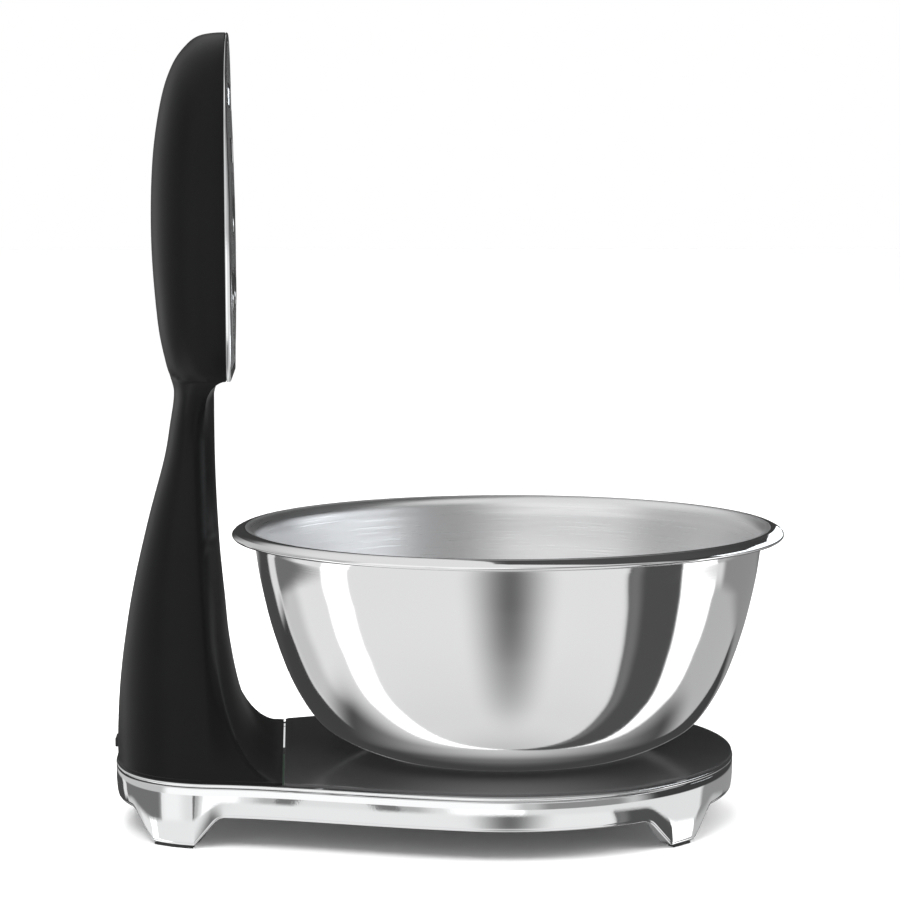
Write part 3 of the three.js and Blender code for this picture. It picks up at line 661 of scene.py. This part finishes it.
def make_platform():
    at = SEAM_X + SEAM_HALF
    corner = math.atan2(SEAM_HALF_WIDTH - 0.2, at)
    arc_angles = np.linspace(-corner, corner, 360)
    seam_angles = np.linspace(corner, 2 * math.pi - corner, 60)[1:-1]
    angles = np.concatenate([arc_angles, seam_angles])

    def level(inset, z):
        edge = clipped(base_outline(EDGE_INSET + inset, 150), at + inset, 1)
        reach = ray_reach(edge, (0, 0), angles)
        return [(r * math.cos(a), r * math.sin(a), z) for r, a in zip(reach, angles)]

    low = trim_high.z + 0.55
    rings = [level(6.5, deck_low.z), level(6.5, low), level(0.3, low), level(0.0, low + 0.25)]
    for a in np.radians([0, 22, 45, 67, 90]):
        rings.append(level(EDGE_ROUND * (1 - math.cos(a)), DECK_TOP - EDGE_ROUND * (1 - math.sin(a))))
    rings.append(level(3.0, DECK_TOP))
    skin("platform_plate", rings, PLATFORM_BLACK, "platform", "gloss_black", ["platform_cover"], 35)


# ---------------- bowl
BOWL_WALL = 0.9
BOWL_FOOT_R = 47.0
LIP_LOW = 113.3
CURL_R = 1.15                 # rolled edge of the lip
CREST_SEEN = 12               # points of the crest that keep the outside's finish


def inner_wall(outside):
    """The inside of the wall: the outside, moved in by the wall's thickness."""
    inner = []
    for i, (r, z) in enumerate(outside):
        a = np.array(outside[max(i - 1, 0)])
        b = np.array(outside[min(i + 1, len(outside) - 1)])
        d = (b - a) / np.linalg.norm(b - a)
        inner.append((r - d[1] * BOWL_WALL, z + d[0] * BOWL_WALL))
    return [p for p in reversed(inner) if p[1] < 110.2]


def make_bowl():
    foot = BOWL_FOOT_Z
    outside = spline([(BOWL_FOOT_R, foot), (56.5, 28.4), (70, 34.6), (78.5, 41.6), (87.5, 56.6),
                      (94.7, 76.3), (99.4, 95.8), (101.6, 110.3)], 14)
    neck = spline([(101.6, 110.3), (102.2, 112.9), (103.6, 114.9), (105.6, 115.4), (108.0, 114.6)], 6)[1:]
    curl = arc(LIP_R - CURL_R, LIP_LOW + CURL_R, CURL_R, -120, 60, 10)
    crest = spline([(109.8, 115.9), (107.6, 117.0), (105.4, RIM_TOP), (103.2, 116.5),
                    (101.6, 114.3), (100.9, 111.0)], 6)
    under = [(0, foot + 0.55), (38, foot + 0.5), (41, foot + 0.3), (43, foot), (45, foot)]
    bed = [(r, foot + BOWL_WALL + 0.5) for r in (40, 20, 0)]
    shell = under + outside + neck + curl
    points, faces = turned(shell + crest + inner_wall(outside) + bed, 256)
    bowl = piece("steel_bowl", points, faces, BOWL_OUTSIDE, "bowl", "bowl_steel", ["bowl"], 45)
    brush_inside(bowl, *crest[CREST_SEEN])


def brush_inside(bowl, edge_r, edge_z):
    """Gives the brushed finish to what looks inwards or up, below a point of the crest."""
    bowl.data.materials.append(BOWL_INSIDE)
    for polygon in bowl.data.polygons:
        x = polygon.center.x - AXIS_X
        y = polygon.center.y
        radius = math.hypot(x, y) / MM
        facing = polygon.normal
        inwards = facing.x * x + facing.y * y < 0
        upwards = facing.z > 0.5 and radius < 60
        below_lip = polygon.center.z / MM < edge_z and radius < edge_r + 0.5
        if below_lip and (inwards or upwards):
            polygon.material_index = 1


# ---------------- column and head
back_x = along_height([
    (26.8, -157.3), (60, -155.1), (90, -150.8), (120, -144.0), (145, -137.2), (160, -134.5),
    (168, -133.2), (173, -133.0), (178, -134.3), (184, -136.1), (200, -139.0), (231, -141.1),
    (262, -140.3), (286, -136.8),
    (300, -132.2), (308, -126.5), (311.5, -121.5), (HEAD_TOP, -114.5)])
front_x = along_height([
    (26.8, -111.0), (60, -111.6), (85, -113.4), (110, -115.6), (140, -117.0), (168, -117.3),
    (171, -117.2), (173.5, -116.5), (175.5, -115.3), (176.8, -114.0), (177.5, -112.8),
    (HEAD_LOW, FACE_X)])
widest_x = along_height([(26.8, -118.5), (70, -121), (120, -124), (168, -125.4)])
column_half = along_height([
    (26.8, 57), (45, 51.5), (70, 43), (95, 35.5), (120, 29), (140, 25.4), (NECK_Z, 24.8),
    (162, 26.4), (170, 30), (175, 33.6), (HEAD_LOW, 36.5)])
HEAD_ROUND_Z = HEAD_TOP - HEAD_HALF
head_side = along_height([
    (HEAD_LOW, 36.5), (180, 38.2), (184, 39.9), (192, 41.4), (215, 43.8), (240, 45.6),
    (HEAD_ROUND_Z, HEAD_HALF)])


def head_half(z, inset=0.0):
    up = z - HEAD_ROUND_Z
    if up > 0:
        return math.sqrt(max((HEAD_HALF - inset) ** 2 - up ** 2, 0.0))
    return head_side(max(z - inset, HEAD_LOW)) - inset


DECK_MIDDLE_X = -124.0
deck_corner = math.atan2(SEAM_HALF_WIDTH, SEAM_X - DECK_MIDDLE_X)
FRONT_STEPS = 36
SIDE_STEPS = 56
ring_angles = np.concatenate([
    np.linspace(-deck_corner, deck_corner, FRONT_STEPS + 1),
    np.linspace(deck_corner, 2 * math.pi - deck_corner, 2 * SIDE_STEPS + 1)[1:-1]])


def bent(value, power):
    return np.sign(value) * np.abs(value) ** power


def column_ring(z):
    middle = widest_x(z)
    c = bent(np.cos(ring_angles), 0.92)
    reach = np.where(c > 0, front_x(z) - middle, middle - back_x(z))
    side = column_half(z) * bent(np.sin(ring_angles), 0.92)
    return np.stack([middle + reach * c, side, np.full_like(side, z)], 1)


def head_ring(z, half, back, front):
    turn = np.where(ring_angles > math.pi, ring_angles - 2 * math.pi, ring_angles)
    flat = np.abs(turn) <= deck_corner + 1e-9
    u = (np.abs(turn) - deck_corner) / (math.pi - deck_corner) * math.pi / 2
    u = np.clip(u, 0, math.pi / 2)
    x = np.where(flat, front, front - (front - back) * np.sin(u) ** 0.84)
    y = np.where(flat, half * turn / deck_corner, np.sign(turn) * half * np.cos(u) ** 0.84)
    return np.stack([x, y, np.full_like(x, z)], 1)


def deck_ring(z, inset):
    edge = clipped(base_outline(EDGE_INSET + inset), SEAM_X - SEAM_HALF - inset, -1)
    reach = ray_reach(edge, (DECK_MIDDLE_X, 0), ring_angles)
    return np.stack([DECK_MIDDLE_X + reach * np.cos(ring_angles), reach * np.sin(ring_angles),
                     np.full_like(reach, z)], 1)


FLARE_H = 50.0
FLARE_STEPS = 34


def shell_rings():
    rings = [deck_ring(trim_high.z + 0.3, 0.25), deck_ring(trim_high.z + 0.5, 0)]
    for a in np.radians([0, 30, 60, 90]):
        rings.append(deck_ring(DECK_TOP - EDGE_ROUND * (1 - math.sin(a)), EDGE_ROUND * (1 - math.cos(a))))
    foot = deck_ring(DECK_TOP, EDGE_ROUND)
    for i in range(1, FLARE_STEPS + 1):
        t = (i / FLARE_STEPS) ** 2
        z = DECK_TOP + FLARE_H * t
        share = (1 - math.sqrt(t)) ** 1.6
        flat = foot.copy()
        flat[:, 2] = z
        rings.append(column_ring(z) * (1 - share) + flat * share)
    for z in np.linspace(DECK_TOP + FLARE_H, NECK_Z, 40)[1:]:
        rings.append(column_ring(z))
    shoulder = np.concatenate([np.linspace(NECK_Z, 172, 14)[1:], np.linspace(172, HEAD_LOW, 20)[1:-1]])
    for z in shoulder:
        t = ((z - NECK_Z) / (HEAD_LOW - NECK_Z)) ** 1.8
        rings.append(column_ring(z) * (1 - t) + head_ring(z, column_half(z), back_x(z), front_x(z)) * t)
    turn = np.linspace(0, math.pi / 2, 46)
    for z in np.concatenate([np.linspace(HEAD_LOW, HEAD_ROUND_Z, 60)[:-1],
                             HEAD_ROUND_Z + HEAD_HALF * np.sin(turn)])[:-1]:
        rings.append(head_ring(z, head_half(z), back_x(z), FACE_X))
    rings.append(head_ring(HEAD_TOP, 0.3, back_x(HEAD_TOP), FACE_X))
    return rings


def make_column():
    skin("column_moulding", shell_rings(), SHELL_BLACK, "base", "black_shell", ["column_shell"], 38)


# ---------------- face of the head


def face_outline(inset, steps=60):
    """The head's outline from the front, pulled in by inset: (y, z), anticlockwise."""
    low = HEAD_LOW + inset
    heights = np.concatenate([low + 8 * np.linspace(0, 1, 10) ** 1.6,
                              np.linspace(low + 8, HEAD_ROUND_Z, 30)[1:]])
    right = [(head_half(z, inset), z) for z in heights]
    r = HEAD_HALF - inset
    right += [(r * math.cos(a), HEAD_ROUND_Z + r * math.sin(a))
              for a in np.linspace(0, math.pi / 2, steps)[1:]]
    left = [(-y, z) for y, z in reversed(right[:-1])]
    return right + left


# the front of the face swells out a little where the buttons are
face_front = along_height([
    (HEAD_LOW, -109.45), (190, -109.37), (214, -109.2), (238, -109.2), (254, -109.5),
    (270, -109.9), (286, -110.3), (HEAD_TOP, -110.3)])


def face_ring(inset, x):
    return [(x, y, z) for y, z in face_outline(inset)]


def front_ring(inset, proud):
    return [(float(face_front(z)) + proud, y, z) for y, z in face_outline(inset)]


def make_bezel():
    back = bezel_low.x
    rings = [face_ring(0.3, back), face_ring(0.0, back + 0.25), front_ring(0.0, -0.7)]
    for a in np.radians([22, 45, 68, 90]):
        rings.append(front_ring(0.7 * (1 - math.cos(a)), -0.7 * (1 - math.sin(a))))
    rings += [front_ring(BEZEL_W - 0.25, 0.0), front_ring(BEZEL_W, -0.25),
              face_ring(BEZEL_W, back + 0.3), face_ring(BEZEL_W - 0.2, back)]
    hoop("face_surround", rings, CHROME, "base", "chrome", ["face_bezel"], 50)


WINDOW_ROUND = 2.4
BEHIND_FACE = -114
BEFORE_FACE = -106


def make_plate():
    """The satin face with its openings cut through: two windows and the round panel."""
    edge = BEZEL_W + 0.3
    levels = [(edge + 0.2, -0.32), (edge + 0.5, -0.08), (edge + 1.5, 0.06), (edge + 4, 0.2),
              (edge + 7, 0.3), (edge + 11, 0.38), (edge + 17, 0.43), (edge + 24, 0.45)]
    rings = [face_ring(edge, plate_low.x), front_ring(edge, -0.55)]
    rings += [front_ring(inset, proud) for inset, proud in levels]
    plate = skin("face_panel", rings, FACE_STEEL, "base", "satin_steel", ["face_plate"])
    for node in ("display_window", "timer_window"):
        low, high = node_mm(node)
        outline = rounded_slot(high.y, low.z, high.z, WINDOW_ROUND, 0.1)
        carve(plate, *lofted([[(x, y, z) for y, z in outline] for x in (BEHIND_FACE, BEFORE_FACE)]))
    hole = DISC_R + 0.15
    profile = [(0, BEHIND_FACE), (hole, BEHIND_FACE), (hole, BEFORE_FACE), (0, BEFORE_FACE)]
    carve(plate, *turned_x(profile, 0, DISC_Z, 192))


def carve(target, points, faces):
    """Cuts a closed shape, given in mm, out of a finished piece."""
    tool = new_object("tool", in_metres(points), faces)
    cut = target.modifiers.new("cut", "BOOLEAN")
    cut.object = tool
    cut.solver = "EXACT"
    as_mesh(target, cut)
    bpy.data.objects.remove(tool)


def rounded_slot(half, low, high, radius, grow, steps=8):
    r = radius + grow
    y0, y1, z0, z1 = -half - grow, half + grow, low - grow, high + grow
    corners = [(y1 - r, z0 + r, -90), (y1 - r, z1 - r, 0), (y0 + r, z1 - r, 90), (y0 + r, z0 + r, 180)]
    return [p for cy, cz, a in corners for p in arc(cy, cz, r, a, a + 90, steps)]


def make_window(name, node):
    """A black glass set back in the face, inside a dark moulded frame."""
    low, high = node_mm(node)
    front = high.x

    def level(grow, x):
        """The slot's outline, at a plane x or at x(z) on the face."""
        outline = rounded_slot(high.y, low.z, high.z, WINDOW_ROUND, grow)
        return [(x(z) if callable(x) else x, y, z) for y, z in outline]

    def proud(lift):
        return lambda z: face_front(z) + lift

    levels = [(0, low.x), (0, front - 0.1), (-0.1, front), (-1.6, front + 0.01)]
    skin(f"{name}_glass", [level(*place) for place in levels], WINDOW_BLACK, "base", "dark_glass", [node])
    levels = [(0.04, proud(-0.2)), (0.02, proud(0.12)), (-0.25, proud(0.2)), (-0.55, proud(0.12)),
              (-0.7, front + 0.06), (0.04, front + 0.06)]
    hoop(f"{name}_frame", [level(*place) for place in levels], PLAIN_MOULDING, "base", "moulding")


DISC_SINK = 0.2
SEGMENTS = {"0": "abcdef", "1": "bc", "2": "abged", "3": "abgcd", "4": "fgbc", "5": "afgcd"}


def segment_bars(width, height):
    """The seven bars of one digit: name to (centre y, centre z, half length, upright)."""
    w = width / 2
    h = height / 2
    return {
        "a": (0, h, w, False), "g": (0, 0, w, False), "d": (0, -h, w, False),
        "f": (-w, h / 2, h / 2, True), "b": (w, h / 2, h / 2, True),
        "e": (-w, -h / 2, h / 2, True), "c": (w, -h / 2, h / 2, True),
    }


def make_digits(name, node, text, height, spacing):
    """Lit seven-bar digits just on the glass of a window."""
    low, high = node_mm(node)
    x = high.x + 0.03
    middle_z = (low.z + high.z) / 2
    thick = height * 0.085
    points = []
    faces = []

    def bar(cy, cz, half, upright):
        u = half - thick * 1.15
        outline = [(-u, -thick), (u, -thick), (u + thick, 0), (u, thick), (-u, thick), (-u - thick, 0)]
        start = len(points)
        for depth in (0.0, 0.05):
            for a, b in outline:
                dy, dz = (b, a) if upright else (a, b)
                points.append((x + depth, cy + dy, cz + dz))
        n = len(outline)
        caps = [tuple(range(n)), tuple(range(n, 2 * n))[::-1]]
        faces.extend(tuple(start + i for i in face) for face in caps + grid_faces(2, n))

    width = height * 0.5
    total = spacing * (len(text) - 1)
    for k, mark in enumerate(text):
        centre = spacing * k - total / 2
        if mark == ":":
            for dz in (-height * 0.2, height * 0.2):
                bar(centre, middle_z + dz, thick * 2.2, False)
            continue
        for segment in SEGMENTS[mark]:
            cy, cz, half, upright = segment_bars(width, height * 0.86)[segment]
            bar(centre + cy, middle_z + cz, half, upright)
    piece(name, points, faces, DIGIT, "base", "dark_glass")


def turned_x(profile, y, z, steps):
    """A profile of (radius, x) turned about the X direction through (y, z)."""
    points, faces = turned(profile, steps)
    return [(h, y + a, z + b) for a, b, h in points], faces


def make_disc():
    r = DISC_R
    front = disc_high.x
    back = disc_low.x
    profile = [(0, back), (r, back), (r, front - 0.75)]
    profile += arc(r - 0.75, front - 0.75, 0.75, 0, 90, 6)[1:]
    floor = front - DISC_SINK
    profile += [(r - 1.5, front), (r - 1.9, front - 0.03), (r - 2.3, floor + 0.03), (r - 2.7, floor),
                (0, floor)]
    piece("control_panel", *turned_x(profile, 0, DISC_Z, 192), DISC_STEEL, "base", "satin_steel",
          ["control_disc"])


def make_buttons():
    for name in ("tare", "unit", "timer"):
        low, high = node_mm(f"button_{name}")
        y = (low.y + high.y) / 2
        z = (low.z + high.z) / 2
        r = (high.y - low.y) / 2
        front = high.x
        well = disc_high.x - DISC_SINK
        profile = [(0, low.x + 0.2), (r - 0.3, low.x + 0.2), (r, low.x + 0.5), (r, front - 0.9)]
        profile += arc(r - 0.9, front - 0.9, 0.9, 0, 90, 8)[1:]
        profile += [(r * 0.72, front - 0.05), (r * 0.45, front - 0.2), (r * 0.2, front - 0.27),
                    (0, front - 0.29)]
        piece(f"push_button_{name}", *turned_x(profile, y, z, 72), BUTTON_CHROME, f"{name}_button",
              "button_chrome", [f"button_{name}"])
        collar = [(r + 0.22, well - 0.6), (r + 1.0, well - 0.6), (r + 1.0, well + 0.02),
                  (r + 0.8, well + 0.14), (r + 0.42, well + 0.14), (r + 0.22, well)]
        piece(f"button_collar_{name}", *turned_x(collar + [collar[0]], y, z, 72), WINDOW_BLACK, "base",
              "dark_glass")


def make_face():
    make_bezel()
    make_plate()
    make_window("display", "display_window")
    make_window("timer", "timer_window")
    make_digits("display_digits", "display_window", "1250", 6.2, 6.4)
    make_digits("timer_digits", "timer_window", "03:45", 5.6, 5.2)
    make_disc()
    make_buttons()


# ---------------- small parts


def make_port_cover():
    low, high = node_mm("port_cover")
    levels = [(0.0, high.x), (0.0, low.x + 0.35), (-0.12, low.x + 0.1), (-0.4, low.x)]
    half = high.y
    rings = [[(x, y, z) for y, z in rounded_slot(half, low.z, high.z, 1.1, grow)] for grow, x in levels]
    skin("port_flap_cover", rings, SOFT_RUBBER, "port_flap", "rubber", ["port_cover"], 50)


SCREW_HEAD_R = 2.85
SCREW_HEAD_H = 1.1
SCREW_SHAFT_R = 1.42
THREAD_PITCH = 0.7
GROOVE = 0.12


def screw_tree():
    """Geometry nodes: a pan-head screw with a cross recess on each point, head downwards."""
    tree = bpy.data.node_groups.new("pan_head_screws", "GeometryNodeTree")
    tree.interface.new_socket("Places", in_out="INPUT", socket_type="NodeSocketGeometry")
    for name in ("Head Radius", "Head Height", "Shaft Radius", "Shaft Length", "Pitch"):
        tree.interface.new_socket(name, in_out="INPUT", socket_type="NodeSocketFloat")
    tree.interface.new_socket("Screws", in_out="OUTPUT", socket_type="NodeSocketGeometry")
    given = tree.nodes.new("NodeGroupInput").outputs
    g = Nodes(tree)

    def lifted(geometry, share, size):
        height = g.math("MULTIPLY", size, share)
        return g.node("GeometryNodeTransform", Geometry=geometry,
                      Translation=g.vector(z=height)).outputs[0]

    def together(*pieces):
        made = tree.nodes.new("GeometryNodeJoinGeometry")
        for part in pieces:
            tree.links.new(part, made.inputs[0])
        return made.outputs[0]

    # the head: a disc with its lower rim drawn in, and a cross cut into it
    radius = given["Head Radius"]
    height = given["Head Height"]
    head = g.node("GeometryNodeMeshCylinder", Vertices=48, Radius=radius, Depth=height).outputs["Mesh"]
    place = g.node("GeometryNodeInputPosition").outputs[0]
    z = g.parts(place)["Z"]
    narrow = g.math("SUBTRACT", 1.0, g.math("MULTIPLY", g.math("LESS_THAN", z, 0.0), 0.2))
    drawn_in = g.sum("ShaderNodeVectorMath", "MULTIPLY", (place, g.vector(narrow, narrow, 1.0)))
    head = g.node("GeometryNodeSetPosition", Geometry=head, Position=drawn_in).outputs[0]
    long = g.math("MULTIPLY", radius, 1.1)
    wide = g.math("MULTIPLY", radius, 0.24)
    bars = [g.node("GeometryNodeMeshCube", Size=size).outputs["Mesh"]
            for size in (g.vector(long, wide, height), g.vector(wide, long, height))]
    cross = together(*[lifted(bar, -0.9, height) for bar in bars])
    recess = tree.nodes.new("GeometryNodeMeshBoolean")
    recess.operation = "DIFFERENCE"
    recess.solver = "EXACT"
    recess.inputs["Self Intersection"].default_value = True
    tree.links.new(lifted(head, -0.5, height), recess.inputs["Mesh 1"])
    tree.links.new(cross, recess.inputs["Mesh 2"])

    # the shaft: grooves run round it in place of a thread
    around = given["Shaft Radius"]
    length = given["Shaft Length"]
    shaft = g.node("GeometryNodeMeshCylinder", Vertices=32, Side_Segments=36, Radius=around,
                   Depth=length).outputs["Mesh"]
    wave = g.math("SINE", g.math("DIVIDE", g.math("MULTIPLY", z, 2 * math.pi), given["Pitch"]))
    depth = g.math("MULTIPLY", g.math("SUBTRACT", wave, 1.0), GROOVE * MM)
    share = g.math("DIVIDE", depth, around)
    grooved = g.sum("ShaderNodeVectorMath", "MULTIPLY", (place, g.vector(share, share)))
    shaft = g.node("GeometryNodeSetPosition", Geometry=shaft, Offset=grooved).outputs[0]

    screw = together(recess.outputs["Mesh"], lifted(shaft, 0.5, length))
    spread = g.node("GeometryNodeInstanceOnPoints", Points=given["Places"], Instance=screw).outputs[0]
    real = g.node("GeometryNodeRealizeInstances", Geometry=spread).outputs[0]
    dressed = g.node("GeometryNodeSetMaterial", Geometry=real, Material=ZINC).outputs[0]
    tree.links.new(dressed, tree.nodes.new("NodeGroupOutput").inputs["Screws"])
    return tree


def make_screws():
    """Detailed screws in place of the plain ones, one object for each kind."""
    tree = screw_tree()
    kinds = {"cover_screws": [f"cover_screw_{i}" for i in range(1, 5)],
             "column_screws": [f"column_screw_{i}" for i in range(1, 5)],
             "cell_screws": [f"cell_screw_fixed_{i}" for i in range(1, 3)]}
    for name, nodes in kinds.items():
        corners = [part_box(node) for node in nodes]
        seat = corners[0][0].z + SCREW_HEAD_H * MM
        length = corners[0][1].z - seat
        places = [((low.x + high.x) / 2, (low.y + high.y) / 2, seat) for low, high in corners]
        screws = new_object(name, places, [])
        grow = screws.modifiers.new("screws", "NODES")
        grow.node_group = tree
        sizes = {"Head Radius": SCREW_HEAD_R * MM, "Head Height": SCREW_HEAD_H * MM,
                 "Shaft Radius": SCREW_SHAFT_R * MM, "Shaft Length": length, "Pitch": THREAD_PITCH * MM}
        for item in tree.interface.items_tree:
            if item.name in sizes:
                grow[item.identifier] = sizes[item.name]
        as_mesh(screws, grow)
        finished(screws, ZINC, "base", nodes, 40)


# ---------------- studio
CAMERA_AT = Vector((-83.8, -1067.6, 248.1))      # mm from the bowl's axis
CAMERA_YAW = math.radians(-4.415)
CAMERA_PITCH = math.radians(-5.379)
LENS = 107.08


def sheet(name, corners):
    """A flat piece of the studio, from four corners in metres."""
    return new_object(name, corners, [(0, 1, 2, 3)])


def make_camera():
    data = bpy.data.cameras.new("camera")
    data.lens = LENS
    data.sensor_width = 36.0
    data.shift_x = -0.0606
    data.clip_end = 50
    camera = bpy.data.objects.new("camera", data)
    camera.location = CAMERA_AT * MM + Vector((AXIS_X, 0, 0))
    camera.rotation_euler = (math.radians(90) + CAMERA_PITCH, 0, CAMERA_YAW)
    bpy.context.scene.camera = into_scene(camera)


FLOOR_REACH = 12.0


def make_floor():
    r = FLOOR_REACH
    floor = sheet("floor", [(-r, -r, 0), (r, -r, 0), (r, r, 0), (-r, r, 0)])
    f = Finish("pale_floor", (0.93, 0.93, 0.93), 0.7)
    f.into("Base Color", f.colors(f.noise(3, 2), (0.925, 0.925, 0.925), (0.935, 0.935, 0.935)))
    floor.data.materials.append(f.material)


CARD_X = 150.0
CARD_Y = (-80.0, 160.0)
CARD_Z = (118.0, 160.0)


def make_side_card():
    """A pale card beyond the bowl, seen only as the gleam on the bowl's inner wall."""
    x = CARD_X * MM + AXIS_X
    (y0, y1), (z0, z1) = (np.array(CARD_Y) * MM, np.array(CARD_Z) * MM)
    card = sheet("side_card", [(x, y0, z0), (x, y0, z1), (x, y1, z1), (x, y1, z0)])
    card.data.materials.append(lit("card_white", (1.0, 1.0, 1.0), 0.85))
    card.visible_camera = False
    card.visible_diffuse = False
    card.visible_shadow = False


# Light and dark panels round the studio, each (middle, half width, brightness, soft edge, lean).
# The first two and the soft edge are degrees of azimuth, 0 towards -Y and 90 towards +X. A panel
# that leans moves by so many degrees for each degree of height above 30 below the horizon.
LOW_PANELS = [
    (-130, 9, 0.68, 10, 0),
    (-91.5, 8.2, 1.7, 1.2, 0),
    (-162, 23, 0.06, 1.5, 0),
    (94, 13, 1.7, 1.5, 0),
    (71.5, 15.5, 0.09, 1.2, -0.42),
    (59.5, 3.5, 0.2, 6, -0.42),
    (125, 18, 0.54, 1.5, 0),
    (163, 20, 0.06, 1.5, 0),
]
BAND_PANELS = [
    (-106, 31.5, 0.19, 2, 0),
    (-166, 20, 0.07, 3, 0),
    (-61, 12, 1.05, 14, 0),
    (-12, 16, 1.3, 3, 0),
    (146, 34, 0.31, 5, 0),
    (-34.2, 2.6, 0.5, 4, 0),
    (-36.5, 1.3, 0.2, 0.6, 0),
]
HIGH_PANELS = [
    (-148, 26, 0.62, 30, 0),
    (34, 22, 0.3, 10, 0),
    (-35, 34, 1.15, 12, 0),
    (118, 50, 0.05, 16, 0),
]
TOP_PANELS = [(125, 60, 0.08, 20, 0)]
WEDGE_MIDDLE = -3.5
WEDGE_REACH = 26


class WorldNodes(Nodes):
    """The studio's brightness by direction, as nodes."""

    def smooth(self, value, start, end, low=0.0, high=1.0):
        made = self.ranged(value, start, end, low, high)
        made.interpolation_type = "SMOOTHSTEP"
        return made.outputs["Result"]

    def blend(self, share, below, above):
        keep = self.math("MULTIPLY", self.math("SUBTRACT", 1.0, share), below)
        return self.math("ADD", keep, self.math("MULTIPLY", share, above))

    def panels(self, level, azimuth, height, listed):
        for middle, half, brightness, soft, lean in listed:
            place = azimuth
            if lean:
                moved = self.math("MULTIPLY", self.math("ADD", height, 30.0), lean)
                place = self.math("SUBTRACT", azimuth, moved)
            away = self.math("ABSOLUTE", self.math("SUBTRACT", place, float(middle)))
            inside = self.smooth(away, half + soft / 2, half - soft / 2)
            level = self.blend(inside, level, float(brightness))
        return level


def make_world():
    world = bpy.data.worlds.new("studio")
    bpy.context.scene.world = world
    world.use_nodes = True
    tree = world.node_tree
    tree.nodes.clear()
    w = WorldNodes(tree)
    x, y, z = w.parts(tree.nodes.new("ShaderNodeTexCoord").outputs["Generated"])
    degrees = 180 / math.pi
    azimuth = w.math("MULTIPLY", w.math("ARCTAN2", x, w.math("MULTIPLY", y, -1.0)), degrees)
    height = w.math("MULTIPLY", w.math("ARCSINE", z), degrees)

    # below: what the bowl's outside mirrors
    low = w.smooth(height, -90.0, -64.0, 0.66, 0.86)
    low = w.math("ADD", low, w.smooth(height, -62.0, -30.0, 0.0, 0.08))
    bell = w.smooth(w.math("ABSOLUTE", w.math("SUBTRACT", azimuth, WEDGE_MIDDLE)), WEDGE_REACH, 0.0)
    depth = w.smooth(height, -78.0, -26.0, 0.0, 0.82)
    low = w.math("MULTIPLY", low, w.math("SUBTRACT", 1.0, w.math("MULTIPLY", bell, depth)))
    low = w.panels(low, azimuth, height, LOW_PANELS)
    # what the bowl's lowest part mirrors, behind and under it
    back = w.math("MULTIPLY", w.smooth(w.math("ABSOLUTE", azimuth), 95.0, 125.0),
                  w.smooth(height, -30.0, -42.0))
    low = w.blend(back, low, w.smooth(height, -94.0, -34.0, 0.72, 0.06))
    # just under the horizon: what the base's band mirrors
    band = w.panels(0.86, azimuth, height, BAND_PANELS)
    # at eye level and above: column, head, lip and the inside of the bowl
    high = w.panels(0.6, azimuth, height, HIGH_PANELS)
    behind = w.smooth(w.math("ABSOLUTE", azimuth), 150.0, 168.0)
    over = w.math("MULTIPLY", w.smooth(height, -9.0, -6.0), w.smooth(height, 30.0, 20.0))
    high = w.blend(w.math("MULTIPLY", behind, over), high, 0.05)
    top = w.panels(0.92, azimuth, height, TOP_PANELS)
    high = w.blend(w.smooth(height, 22.0, 48.0), high, top)

    total = w.blend(w.smooth(height, -18.5, -15.5), low, band)
    total = w.blend(w.smooth(height, -10.5, -7.0), total, high)
    reflected = w.node("ShaderNodeBackground", Color=w.vector(total, total, total))
    # soft room light, a little stronger near the horizon
    white = (1, 1, 1, 1)
    room = w.smooth(w.math("ABSOLUTE", height), 45.0, 0.0, 1.0, 1.9)
    plain = w.node("ShaderNodeBackground", Color=white, Strength=room)
    backdrop = w.node("ShaderNodeBackground", Color=white)
    path = tree.nodes.new("ShaderNodeLightPath").outputs

    def chosen(test, other, this):
        made = w.node("ShaderNodeMixShader", Fac=test)
        tree.links.new(other, made.inputs[1])
        tree.links.new(this, made.inputs[2])
        return made.outputs["Shader"]

    seen = chosen(path["Is Camera Ray"], plain.outputs[0], backdrop.outputs[0])
    surface = chosen(path["Is Glossy Ray"], seen, reflected.outputs[0])
    w.node("ShaderNodeOutputWorld", Surface=surface)


def make_lights():
    lights = [
        ("key", (-500, -900, 1300), 0.9, 16.0),
        ("fill", (900, -700, 900), 0.8, 9.0),
        ("rear", (-200, 900, 1100), 0.8, 9.0),
    ]
    target = Vector((AXIS_X - 0.03, 0, 0.08))
    for name, at, size, power in lights:
        data = bpy.data.lights.new(name, "AREA")
        data.shape = "RECTANGLE"
        data.size = size
        data.size_y = size * 0.7
        data.energy = power
        light = bpy.data.objects.new(name, data)
        light.location = Vector(at) * MM + Vector((AXIS_X, 0, 0))
        light.rotation_euler = (target - light.location).to_track_quat("-Z", "Y").to_euler()
        light.visible_glossy = False
        into_scene(light)


def hide_from_mirrors():
    """The polished steel mirrors the studio and the bowl only, as under a light tent."""
    for obj in bpy.context.scene.objects:
        if obj.type == "MESH" and obj.name not in ("steel_bowl", "side_card"):
            obj.visible_glossy = False


# ---------------- build
dress_cad_nodes()
make_base()
make_platform()
make_bowl()
make_column()
make_face()
make_port_cover()
make_screws()
make_camera()
make_floor()
make_side_card()
make_world()
make_lights()
hide_from_mirrors()
bpy.context.scene.view_settings.view_transform = "Standard"
bpy.context.scene.view_settings.look = "None"
